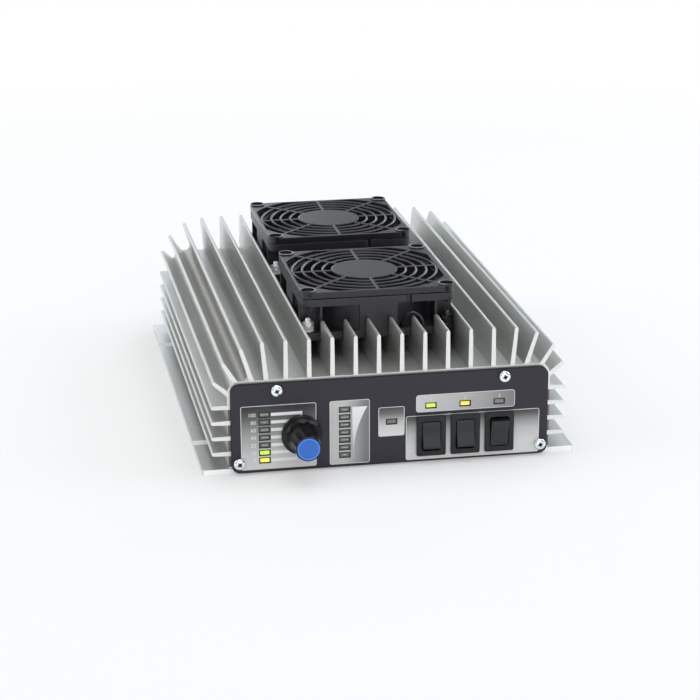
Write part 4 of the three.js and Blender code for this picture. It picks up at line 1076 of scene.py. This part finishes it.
def panHead(name, settings, shape):
    # points up, with the seat of its head at zero
    head, height, shank, arm = [settings[key] for key in ("head", "height", "shank", "arm")]
    end = -settings["length"]
    rimHeight, seatShare = shape["rim"]
    outline = [(end, shank * shape["tip"]), (end + shape["tip"], shank)]
    outline += threadOutline(end + shape["threadStart"], shape["threadEnd"], shank,
                             shape["threadDepth"], shape["pitch"])
    outline += [(0, shank), (0, head * seatShare), (rimHeight, head)]
    outline += [(height * up, head * out) for up, out in shape["dome"]]
    piece = turnedPiece(name, outline, 48)
    recess = []
    for turn in (0, 90):
        # each arm of the cross narrows towards its bottom
        bar = boxPiece("crossArm", (2 * arm, settings["armWidth"], 2 * settings["deep"]),
                       (0, 0, height))
        for point in bar.data.vertices:
            if point.co.z < height * mm:
                point.co.x *= shape["taper"][0]
                point.co.y *= shape["taper"][1]
        bar.data.transform(turned(turn))
        recess.append(bar)
    foot, mouth = shape["heart"]
    recess.append(rodPiece("crossHeart", foot * arm, height - settings["deep"], height + 1, 12,
                           tip=mouth * arm))
    piece.data.materials.append(zincPlate)
    cut(piece, recess)

    # the faces in the cross recess are painted dark as shade
    def inRecess(face):
        x, y, z = face.center / mm
        inside = math.hypot(x, y) < arm * shape["recess"] and 0 < z < height - 0.02
        return inside and (abs(face.normal.z) < shape["flat"] or z < height * shape["darkBelow"])
    painted(piece, zincShade, inRecess)
    return shaded(piece, 35)


def placeHead(model, settings, node, material, spin, onPanel=False):
    low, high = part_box(node)
    x, y, z = middleOf(node)
    place = moved(x, y, high[2] / mm - settings["height"])
    if onPanel:
        place = moved(x, low[1] / mm + settings["height"], z) @ turned(90, 'X')
    dress(twin(model, node + "Head", place @ turned(spin)), material, node)


screwModel = panHead("panelScrewModel", panelScrewSettings, screwShape)
for side, spin in (("upper_left", 28), ("upper_right", 12), ("lower_left", 38),
                   ("lower_right", 20)):
    placeHead(screwModel, panelScrewSettings, f"panel_screw_{side}", zincPlate, spin, True)
guardScrewModel = panHead("guardScrewModel", guardScrewSettings, screwShape)
for place in ("front", "rear"):
    for number, spin in enumerate((40, 15, 62, 30), 1):
        placeHead(guardScrewModel, guardScrewSettings, f"{place}_guard_screw_{number}",
                  blackSteel, spin)
bpy.data.objects.remove(guardScrewModel)

fanBoltSettings = {
    "seat": 61.8, "underHead": 44.9, "headHeight": 2.2, "head": 3.0, "shank": 1.5,
    "washer": 3.1, "washerHeight": 0.6, "nut": 3.1, "nutHeight": 2.4, "nutTurn": 10,
    "jam": 3.0, "jamHeight": 1.5, "jamGap": 0.12, "jamTurn": 37, "top": 68.5,
    "threadDepth": 0.17, "pitch": 0.5,
}


def hexNut(name, radius, low, height, spin):
    # a hexagon whose corners are turned off at both faces
    nut = rodPiece(name, radius, low, low + height, 6)
    face, clear = radius * 0.87, radius * 1.02
    rounder = turnedPiece("nutRounder", (
        (low - 0.01, face), (low + 0.16 * height, clear), (low + 0.84 * height, clear),
        (low + height + 0.01, face)), 48)
    combined(nut, [rounder], 'INTERSECT')
    nut.data.transform(turned(spin))
    return nut


def fanBolt(settings):
    s = settings
    low, seat = s["underHead"] - s["headHeight"], s["seat"]
    washerTop = seat + s["washerHeight"]
    outline = [(low, s["head"] * 0.8), (low + 0.5, s["head"] * 0.97), (low + 1.0, s["head"]),
               (s["underHead"], s["head"]), (s["underHead"], s["shank"])]
    outline += threadOutline(s["underHead"] + 0.2, s["top"] - 0.3, s["shank"], s["threadDepth"],
                             s["pitch"])
    outline += [(s["top"], s["shank"] * 0.72)]
    shank = turnedPiece("fanBoltModel", outline, 28)
    washer = turnedPiece("boltWasher", ((seat, 3.0), (seat + 0.08, s["washer"]),
                                        (washerTop - 0.1, s["washer"]), (washerTop, 2.95)), 40)
    nutLow = washerTop + 0.01
    nut = hexNut("boltNut", s["nut"], nutLow, s["nutHeight"], s["nutTurn"])
    jam = hexNut("boltJamNut", s["jam"], nutLow + s["nutHeight"] + s["jamGap"], s["jamHeight"],
                 s["jamTurn"])
    for part in (shank, washer, nut, jam):
        shaded(part, 30)
    return gathered(shank, [washer, nut, jam])


boltModel = fanBolt(fanBoltSettings)
for place in ("front", "rear"):
    for number in (1, 2, 3, 4):
        node = f"{place}_fan_bolt_{number}"
        x, y, z = middleOf(node)
        bolt = twin(boltModel, node + "Stack", moved(x, y, 0) @ turned(number * 47))
        # the front right bolt is dressed in dark steel, the other bolts in zinc
        dress(bolt, blackSteel if node == "front_fan_bolt_2" else boltZinc, node)
bpy.data.objects.remove(boltModel)
print("stage 9: screws set")


# Fan guard: a plate with a round opening, raised collars at its corners, four bent bars and a disc

guardSettings = {
    "low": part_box("front_fan_guard")[0][2] / mm, "size": 79.3, "corner": 4.5, "thick": 3.4,
    "rim": 1.4, "opening": 43.2, "rings": (21.75, 27.15, 32.45, 37.75), "ringWidth": 1.5,
    "gridHeight": 1.8, "disc": 17.4, "spoke": 1.7, "spokeEdge": 0.45, "spokes": 8, "hole": 35.75,
    "bore": 2.0, "recess": 3.45, "recessDepth": 2.1, "collar": 4.2, "rise": 0.8, "edge": 0.32,
    "highlightDepth": 0.22,
}


def corners(shift):
    return [(x, y) for x in (-shift, shift) for y in (-shift, shift)]


def turnedBoxes(name, count, first, inner, outer, size, z, edge, segments):
    # equal bars from an inner to an outer reach, spread evenly round the middle
    bars = []
    for number in range(count):
        end = outer[number % len(outer)]
        bar = boxPiece(name, (end - inner, *size), ((end + inner) / 2, 0, z))
        roundEdges(bar, edge, segments)
        bar.data.transform(turned(first + 360 / count * number))
        bars.append(bar)
    return bars


def fanGuard(settings):
    s = settings
    half, thick, rim = s["size"] / 2, s["thick"], s["size"] / 2 - s["rim"]
    top, floor, gridLow = thick + s["rise"], thick - s["recessDepth"], thick - s["gridHeight"]
    inside = squareReach(rim, 0.01)
    plate = platePiece("guardModel", squareReach(half, s["corner"]),
                       lambda angle: min(s["opening"], inside(angle)), 0, thick)
    roundEdges(plate, s["edge"], 3, 40)
    outline = platePiece("outline", lambda angle: 2 * half, squareReach(half, s["corner"]), -1,
                         top + 1)
    collars = []
    for place in corners(s["hole"]):
        cut(plate, [rodPiece("seat", s["recess"] + 0.3, -1, top + 1, 48, place)])
        collar = turnedPiece("collar", (
            (0, s["bore"]), (0, s["collar"] - 0.1), (top - 0.3, s["collar"]),
            (top - 0.12, s["collar"] - 0.06), (top - 0.03, s["collar"] - 0.16),
            (top, s["collar"] - 0.3), (top, s["recess"] + 0.2), (top - 0.06, s["recess"] + 0.07),
            (top - 0.2, s["recess"]), (floor, s["recess"]), (floor, s["bore"]),
            (0.01, s["bore"])), 48, 'Z', (*place, 0))
        collars.append(shaded(cut(collar, [outline], keep=True), 35))
    bpy.data.objects.remove(outline)
    shaded(plate)
    middle = thick - s["gridHeight"] / 2
    bars = [shaded(ringPiece("bar", radius, s["ringWidth"], s["gridHeight"], middle), 60)
            for radius in s["rings"]]
    disc = turnedPiece("disc", (
        (gridLow, s["disc"] - 0.8), (gridLow + 0.3, s["disc"]), (thick - 0.5, s["disc"]),
        (thick - 0.2, s["disc"] - 0.15), (thick - 0.02, s["disc"] - 0.55),
        (thick, s["disc"] - 1.0), (thick, 1.0)), 96, smooth=30)
    spokes = turnedBoxes("spoke", s["spokes"], 0, s["disc"] - 1.5, (rim + 0.5, s["opening"] + 0.5),
                         (s["spoke"], s["gridHeight"]), middle, s["spokeEdge"], 4)
    return gathered(plate, [*collars, *bars, disc, *spokes])


# Fan frame: two square flanges on a round duct, with thin posts and a flat pad on each side

frameSettings = {
    "low": 57.5, "size": 79.3, "corner": 4.5, "height": 21.5, "flange": 4.0, "outer": 39.6,
    "duct": 37.4, "post": 29.6, "postThick": 1.3, "pad": (19.8, 2.2), "wallEdge": 0.2,
    "wallOverlap": 0.2, "hole": 35.75, "bore": 2.1, "slotX": 15.9, "slot": (1.7, 3.4),
    "base": 16.0, "baseThick": 2.6, "strut": (3.4, 2.6), "strutStart": 10, "strutEdge": 0.6,
    "sleeve": 3.0, "sleeveTop": 15.9, "edge": 0.3,
}


def fanFrame(settings):
    s = settings
    half, height, base = s["size"] / 2, s["height"], s["base"]
    duct = turnedPiece("frameModel", (
        (0.1, s["duct"]), (0.1, s["outer"]), (height - 0.1, s["outer"]),
        (height - 0.1, s["duct"]), (0.11, s["duct"])), 128, smooth=35)
    parts = []
    for low in (0, height - s["flange"]):
        flange = platePiece("flange", squareReach(half, s["corner"]),
                            lambda angle: s["duct"] + 0.02, low, low + s["flange"])
        roundEdges(flange, s["edge"], 2, 38)
        cut(flange, [rodPiece("bore", s["bore"], low - 1, low + s["flange"] + 1, 24, place)
                     for place in corners(s["hole"])])
        if low:
            cut(flange, [boxPiece("slot", (*s["slot"], s["flange"] + 2),
                                  (s["slotX"], -half, height - s["flange"] / 2))])
        parts.append(shaded(flange))
    wallHeight = height - 2 * s["flange"] + 2 * s["wallOverlap"]
    post = half - s["post"] + s["postThick"] / 2
    for side in range(4):
        for name, x, width, thick in (("pad", 0, *s["pad"]),
                                      ("post", -s["post"], s["postThick"], post),
                                      ("post", s["post"], s["postThick"], post)):
            wall = boxPiece(name, (width, thick, wallHeight), (x, thick / 2 - half, height / 2))
            roundEdges(wall, s["wallEdge"])
            wall.data.transform(turned(90 * side))
            parts.append(wall)
    parts.append(turnedPiece("base", (
        (0, base - 0.5), (0.5, base), (s["baseThick"] - 0.3, base), (s["baseThick"], base - 0.3),
        (s["baseThick"], 1.0)), 64, smooth=30))
    parts.append(rodPiece("sleeve", s["sleeve"], 0, s["sleeveTop"], 32))
    struts = turnedBoxes("strut", 4, 45, s["strutStart"], (s["duct"] + 0.5,), s["strut"],
                         s["strut"][1] / 2, s["strutEdge"], 3)
    return gathered(duct, parts + struts)


# Fan rotor: a cup with seven cambered, swept blades

rotorSettings = {
    "cup": 16.8, "low": 3.2, "top": 17.6, "count": 7, "root": 16.4, "tip": 36.7, "bladeLow": 3.4,
    "bladeHigh": 16.2, "spread": 40.0, "widening": 0.12, "sweep": 14.0, "camber": 1.1,
    "thick": 1.2, "bladeEdge": 0.35, "label": (14.4, 14.2, 0.25),
}


def fanRotor(settings):
    s = settings
    cup, low, top = s["cup"], s["low"], s["top"]
    rim, floor, sink = s["label"]
    hub = turnedPiece("rotorModel", (
        (low, cup - 0.3), (low + 0.3, cup), (top - 1.5, cup), (top - 0.9, cup - 0.12),
        (top - 0.4, cup - 0.45), (top - 0.1, cup - 1.0), (top, cup - 1.6), (top, rim),
        (top - sink, floor), (top - sink, 1.0)), 96, smooth=35)
    clearSelection()
    bpy.ops.mesh.primitive_grid_add(x_subdivisions=18, y_subdivisions=9, size=1)
    blade = settled("blade")
    for point in blade.data.vertices:
        along, out = point.co.x + 0.5, point.co.y + 0.5
        radius = s["root"] + out * (s["tip"] - s["root"])
        turn = math.radians(s["sweep"] * out + along * s["spread"] * (1 + s["widening"] * out))
        height = (s["bladeLow"] + along * (s["bladeHigh"] - s["bladeLow"])
                  + s["camber"] * 4 * along * (1 - along))
        point.co = Vector((radius * math.cos(turn), radius * math.sin(turn), height)) * mm
    applied(blade, 'SOLIDIFY', thickness=s["thick"] * mm, offset=0, use_even_offset=False)
    roundEdges(blade, s["bladeEdge"], 3, 50, False)
    blades = [twin(blade, "blade", turned(360 * number / s["count"]))
              for number in range(1, s["count"])]
    return gathered(hub, [blade, *blades])


fanModels = (("guard", fanGuard(guardSettings), guardSettings["low"], guardPlastic),
             ("frame", fanFrame(frameSettings), frameSettings["low"], fanPlastic),
             ("rotor", fanRotor(rotorSettings), frameSettings["low"], bladePlastic))
guardTop = guardSettings["low"] + guardSettings["thick"] + guardSettings["rise"]
highlightRim = guardTop - guardSettings["highlightDepth"]
for place in ("front", "rear"):
    fanY = middleOf(f"{place}_fan_frame")[1]
    for kind, model, height, material in fanModels:
        piece = twin(model, f"{place}Fan{kind.title()}", moved(0, fanY, height))
        dress(piece, material, f"{place}_fan_{kind}")
        if kind == "guard":
            # the tops of the four collars' rims get a paler grey, a painted highlight
            painted(piece, guardHighlight, lambda face: face.center.z > highlightRim * mm)
    softNode(f"{place}_fan_lead", leadSkin, 0.1, 1, 60)
for kind, model, height, material in fanModels:
    bpy.data.objects.remove(model)

leadLoop = {
    "radius": 0.8,
    "path": ((11.6, -91.0, 62.0), (12.4, -94.0, 65.0), (14.0, -95.8, 69.2), (16.6, -96.5, 71.2),
             (19.8, -97.1, 69.6), (22.2, -97.8, 65.8), (23.0, -98.2, 61.0), (22.6, -97.9, 54.5),
             (22.1, -97.6, 49.4), (22.0, -97.5, 46.5)),
}


def bentLead(settings):
    # the lead that hangs from the front fan into the channel between two fins
    clearSelection()
    bpy.ops.curve.primitive_nurbs_path_add(radius=mm)
    curve = bpy.context.object.data
    spline = curve.splines[0]
    spline.points.add(len(settings["path"]) - len(spline.points))
    for point, place in zip(spline.points, settings["path"]):
        point.co = (*[c * mm for c in place], 1)
    spline.use_endpoint_u = True
    spline.order_u = 4
    curve.resolution_u = 10
    curve.bevel_depth = settings["radius"] * mm
    curve.bevel_resolution = 5
    curve.use_fill_caps = True
    bpy.ops.object.convert(target='MESH')
    dress(shaded(settled("fanLeadLoop"), 50), leadSkin)


bentLead(leadLoop)
print("stage 10: fans dressed")


# Rear panel: the plate and its screws, sockets with thread and insulator, jack and gland

rearSettings = {
    "face": 125.8, "seat": 126.1, "width": 161.2, "height": 46.1, "low": 1.0, "thick": 2.0,
    "corner": 4.2, "edge": 0.25, "sockets": ((-48, 25), (48, 25)), "jack": (22, 14),
    "gland": (-12, 14), "socketHole": 5.9, "jackHole": 3.9, "glandHole": 6.3,
    "screws": ((-57.8, 43.5, 20), (57.8, 43.5, 65), (-76.8, 6.2, 40), (76.8, 6.2, 5)),
}


def rearPanel(settings):
    s = settings
    face = s["face"]
    plate = boxPiece("rearPanelPlate", (s["width"], s["thick"], s["height"]),
                     (0, face - s["thick"] / 2, s["low"] + s["height"] / 2))
    softCorners(plate, s["corner"], 1, 8)
    holes = [(s["socketHole"], place) for place in s["sockets"]]
    holes += [(s["jackHole"], s["jack"]), (s["glandHole"], s["gland"])]
    cut(plate, [rodPiece("hole", radius, face - 4, face + 2, 40, place, 'Y')
                for radius, place in holes])
    roundEdges(plate, s["edge"])
    dress(plate, charcoalPaint, "rear_panel")
    for x, z, spin in s["screws"]:
        head = twin(screwModel, "rearScrew", moved(x, face, z) @ turned(-90, 'X') @ turned(spin))
        dress(head, zincPlate)


rearPanel(rearSettings)

socketSettings = {
    "flange": 25.4, "flangeThick": 2.2, "corner": 1.2, "edge": 0.25, "neck": 7.2, "barrel": 7.9,
    "reach": 17.2, "mouth": 6.1, "floor": 7.4, "contact": 2.0, "contactEnd": 12.3, "pitch": 1.05,
    "threadDepth": 0.45, "notch": (20, 1.5, 2.4), "slit": (6, 0.35, 3), "tail": 5.6,
    "tailLength": 7.0, "pin": 1.2, "pinLength": 4.0, "screwShift": 9.1, "screwScale": 0.72,
    "screwTurn": 31,
}


def radioSocket(name, settings):
    # a screw-on socket whose flange seats at zero, pointing up
    s = settings
    thick, tail, mouth, reach, end = [s[key] for key in ("flangeThick", "tail", "mouth", "reach",
                                                         "contactEnd")]
    back = -s["tailLength"]
    flange = boxPiece(name, (s["flange"], s["flange"], thick), (0, 0, thick / 2))
    softCorners(flange, s["corner"], 2, 5)
    roundEdges(flange, s["edge"])
    outline = [(back, tail * 0.95), (back + 0.3, tail), (0.5, tail), (0.5, s["neck"]),
               (thick + 0.9, s["neck"])]
    outline += threadOutline(thick + 1.0, reach - 1.0, s["barrel"], s["threadDepth"], s["pitch"])
    outline += [(reach - 0.6, s["barrel"] - 0.35), (reach, s["barrel"] - 0.6),
                (reach, mouth + 0.3), (reach - 0.3, mouth), (s["floor"], mouth),
                (s["floor"], 1.0)]
    barrel = turnedPiece("barrel", outline, 72)
    notches = []
    for turn in (45, 135):
        notch = boxPiece("notch", s["notch"], (0, 0, reach))
        notch.data.transform(turned(turn))
        notches.append(notch)
    shaded(cut(barrel, notches), 30)
    contact = turnedPiece("contact", (
        (s["floor"] - 0.4, s["contact"]), (end - 0.3, s["contact"]), (end, s["contact"] - 0.25),
        (end, 1.35), (end - 3.6, 1.3), (end - 3.6, 0.3)), 40)
    long, narrow, deep = s["slit"]
    cut(contact, [boxPiece("slit", size, (0, 0, end))
                  for size in ((long, narrow, deep), (narrow, long, deep))])
    shaded(contact, 30)
    pin = turnedPiece("pin", (
        (back - s["pinLength"], s["pin"] * 0.8), (back - s["pinLength"] + 0.3, s["pin"]),
        (back + 0.3, s["pin"])), 24, smooth=30)
    return gathered(flange, [barrel, contact, pin])


def socketInsulator(settings):
    s = settings
    floor, mouth, end, bore = s["floor"], s["mouth"], s["contactEnd"], s["contact"] + 0.02
    return turnedPiece("insulatorModel", (
        (floor - 0.3, mouth - 0.05), (floor + 1.2, mouth - 0.05), (floor + 1.4, mouth - 0.4),
        (floor + 1.4, 3.6), (end - 1.2, 3.3), (end - 0.9, 3.0), (end - 0.9, bore),
        (floor, bore)), 56, smooth=35)


socketModel = radioSocket("socketModel", socketSettings)
insulatorModel = socketInsulator(socketSettings)
smallScrew = twin(screwModel, "socketScrew", Matrix.Scale(socketSettings["screwScale"], 4))
for node, (x, z) in zip(("input_socket", "output_socket"), rearSettings["sockets"]):
    stand = moved(x, rearSettings["seat"], z) @ turned(-90, 'X')
    dress(twin(socketModel, node + "Body", stand), nickelPlate, node)
    dress(twin(insulatorModel, node + "Insulator", stand), insulatorWhite)
    for number, place in enumerate(corners(socketSettings["screwShift"])):
        head = twin(smallScrew, f"{node}Screw{number}",
                    stand @ moved(*place, socketSettings["flangeThick"])
                    @ turned(socketSettings["screwTurn"] * number))
        dress(head, zincPlate)
for model in (socketModel, insulatorModel, smallScrew, screwModel):
    bpy.data.objects.remove(model)

jackSettings = {
    "body": ((-8.0, 3.4), (-7.8, 3.6), (0.3, 3.6), (0.0, 5.8), (0.2, 6.0), (1.7, 6.0),
             (2.0, 5.75), (2.0, 4.1), (10.5, 4.1), (10.9, 3.95), (11.0, 3.75), (11.0, 3.4),
             (10.7, 3.3), (3.0, 3.3), (3.0, 1.0)),
    "core": ((2.5, 3.25), (10.4, 3.25), (10.6, 3.1), (10.6, 1.8), (10.4, 1.6), (2.6, 1.6),
             (2.6, 0.4)),
}
glandSettings = {
    "outline": ((-5.6, 4.0), (-5.6, 7.6), (-5.2, 8.0), (-3.0, 8.0), (-2.6, 7.7), (-2.6, 6.0),
                (0.0, 6.0), (0.0, 7.7), (0.3, 8.0), (2.6, 8.0), (3.3, 7.6), (3.7, 6.9),
                (4.0, 5.9), (4.0, 4.4), (3.6, 4.05), (-5.6, 4.0)),
}


def onRear(place):
    return place[0], rearSettings["seat"], place[1]


def keyingJack(settings):
    stand = onRear(rearSettings["jack"])
    body = turnedPiece("keyingJackBody", settings["body"], 64, 'Y', stand, 35)
    dress(body, nickelPlate, "keying_jack")
    core = turnedPiece("keyingJackCore", settings["core"], 48, 'Y', stand, 35)
    dress(core, insulatorWhite)


def leadGland(settings):
    # the bush is drawn as a closed ring, so its first and last rings meet in the bore
    piece = turnedPiece("leadGlandBush", settings["outline"], 64, 'Y',
                        onRear(rearSettings["gland"]))
    chosen(piece, 'FACE', piece.data.polygons, lambda face: len(face.vertices) > 8)
    bpy.ops.mesh.delete(type='ONLY_FACE')
    bpy.ops.mesh.select_all(action='SELECT')
    bpy.ops.mesh.remove_doubles(threshold=0.01 * mm)
    bpy.ops.mesh.normals_make_consistent(inside=False)
    bpy.ops.object.mode_set(mode='OBJECT')
    dress(shaded(piece, 35), switchPlastic, "supply_lead_gland")


keyingJack(jackSettings)
leadGland(glandSettings)

for node, material, edge, segments in (
        ("display_board", boardGreen, 0.1, 1), ("amplifier_board", boardGreen, 0.1, 1),
        ("power_transistor_1", ceramicWhite, 0.1, 1),
        ("power_transistor_2", ceramicWhite, 0.1, 1), ("output_transformer", ferriteBlack, 0.4, 2),
        ("input_transformer", ferriteBlack, 0.4, 2), ("aerial_relay", switchPlastic, 0.4, 2)):
    softNode(node, material, edge, segments, clamp=material is not ceramicWhite)
print("stage 11: rear and inside dressed")


# Stage and light

stageSettings = {"size": 9.0, "color": (0.90, 0.90, 0.90, 1), "seen": (0.66, 0.66, 0.66, 1),
                 "whiten": 0.34, "near": 0.24, "far": 0.9}


def stageFloor(settings):
    # the floor pales into the white backdrop with its distance from the piece
    s = settings
    clearSelection()
    bpy.ops.mesh.primitive_plane_add(size=s["size"])
    floor = bpy.context.object
    floor.name = "floor"
    material, tree, position = newMaterial("paleFloor")
    reach = newNode(tree, 'ShaderNodeVectorMath', {0: position}, operation='LENGTH')
    fade = ranged(tree, reach.outputs["Value"], s["whiten"], 1.0, (s["near"], s["far"]))
    camera = tree.nodes.new('ShaderNodeLightPath').outputs["Is Camera Ray"]
    tone = mixColors(tree, 'MIX', camera, s["color"], s["seen"])
    diffuse = newNode(tree, 'ShaderNodeBsdfDiffuse', {"Color": tone})
    white = newNode(tree, 'ShaderNodeEmission', {"Strength": 1.0})
    mix = newNode(tree, 'ShaderNodeMixShader', {0: mathNode(tree, 'MULTIPLY', camera, fade),
                                                1: diffuse.outputs[0], 2: white.outputs[0]})
    newNode(tree, 'ShaderNodeOutputMaterial', {"Surface": mix.outputs[0]})
    floor.data.materials.append(material)


stageFloor(stageSettings)

lightAim = (0, 0, 0.03)
lampSettings = [
    {"name": "topSoftbox", "place": (0.1, 0.1, 1.5), "aim": (0, 0, 0), "size": (1.6, 1.6),
     "power": 18, "color": (0.93, 0.975, 1.0)},
    {"name": "frontSoftbox", "place": (-0.05, -1.72, 0.64), "aim": lightAim, "size": (1.4, 1.4),
     "power": 8.5, "color": (1.0, 0.985, 0.97)},
    {"name": "rightSoftbox", "place": (1.5, -0.2, 0.9), "aim": lightAim, "size": (1.0, 1.0),
     "power": 10, "color": (0.88, 0.95, 1.0)},
    {"name": "leftSoftbox", "place": (-1.5, 0.1, 0.8), "aim": lightAim, "size": (1.2, 1.2),
     "power": 10.3, "color": (1.0, 0.985, 0.955)},
    {"name": "backSoftbox", "place": (-0.37, 2.1, 0.5), "aim": lightAim, "size": (1.3, 0.9),
     "power": 5.6, "color": (0.80, 0.91, 1.0)},
    {"name": "farSoftbox", "place": (1.4, 1.7, 0.75), "aim": lightAim, "size": (1.0, 1.3),
     "power": 12.0, "color": (0.76, 0.89, 1.0)},
]


def softLamp(settings):
    data = bpy.data.lights.new(settings["name"], 'AREA')
    data.shape = 'RECTANGLE'
    data.size, data.size_y = settings["size"]
    data.energy = settings["power"]
    data.color = settings["color"]
    lamp = linked(settings["name"], data)
    lamp.location = settings["place"]
    direction = Vector(settings["aim"]) - Vector(settings["place"])
    lamp.rotation_euler = direction.to_track_quat('-Z', 'Y').to_euler()


for settings in lampSettings:
    softLamp(settings)

worldSettings = {"color": (0.97, 0.985, 1.0, 1), "ambient": 0.49, "diffuse": 0.01}


def paleWorld(settings):
    # white where the camera sees it, dimmer as light on the piece
    world = bpy.data.worlds.new("paleWorld")
    bpy.context.scene.world = world
    world.use_nodes = True
    tree = world.node_tree
    tree.nodes.clear()
    rays = tree.nodes.new('ShaderNodeLightPath').outputs
    shown = mathNode(tree, 'MAXIMUM', rays["Is Camera Ray"], rays["Is Transmission Ray"])
    shown = mathNode(tree, 'MULTIPLY', shown, 1.0 - settings["ambient"])
    strength = mathNode(tree, 'ADD', shown, settings["ambient"])
    fill = mathNode(tree, 'MULTIPLY', rays["Is Diffuse Ray"], settings["diffuse"])
    back = newNode(tree, 'ShaderNodeBackground', {
        "Color": settings["color"], "Strength": mathNode(tree, 'ADD', strength, fill)})
    newNode(tree, 'ShaderNodeOutputWorld', {"Surface": back.outputs[0]})


paleWorld(worldSettings)
bpy.context.scene.view_settings.view_transform = 'Standard'
print("stage 12: lights on")
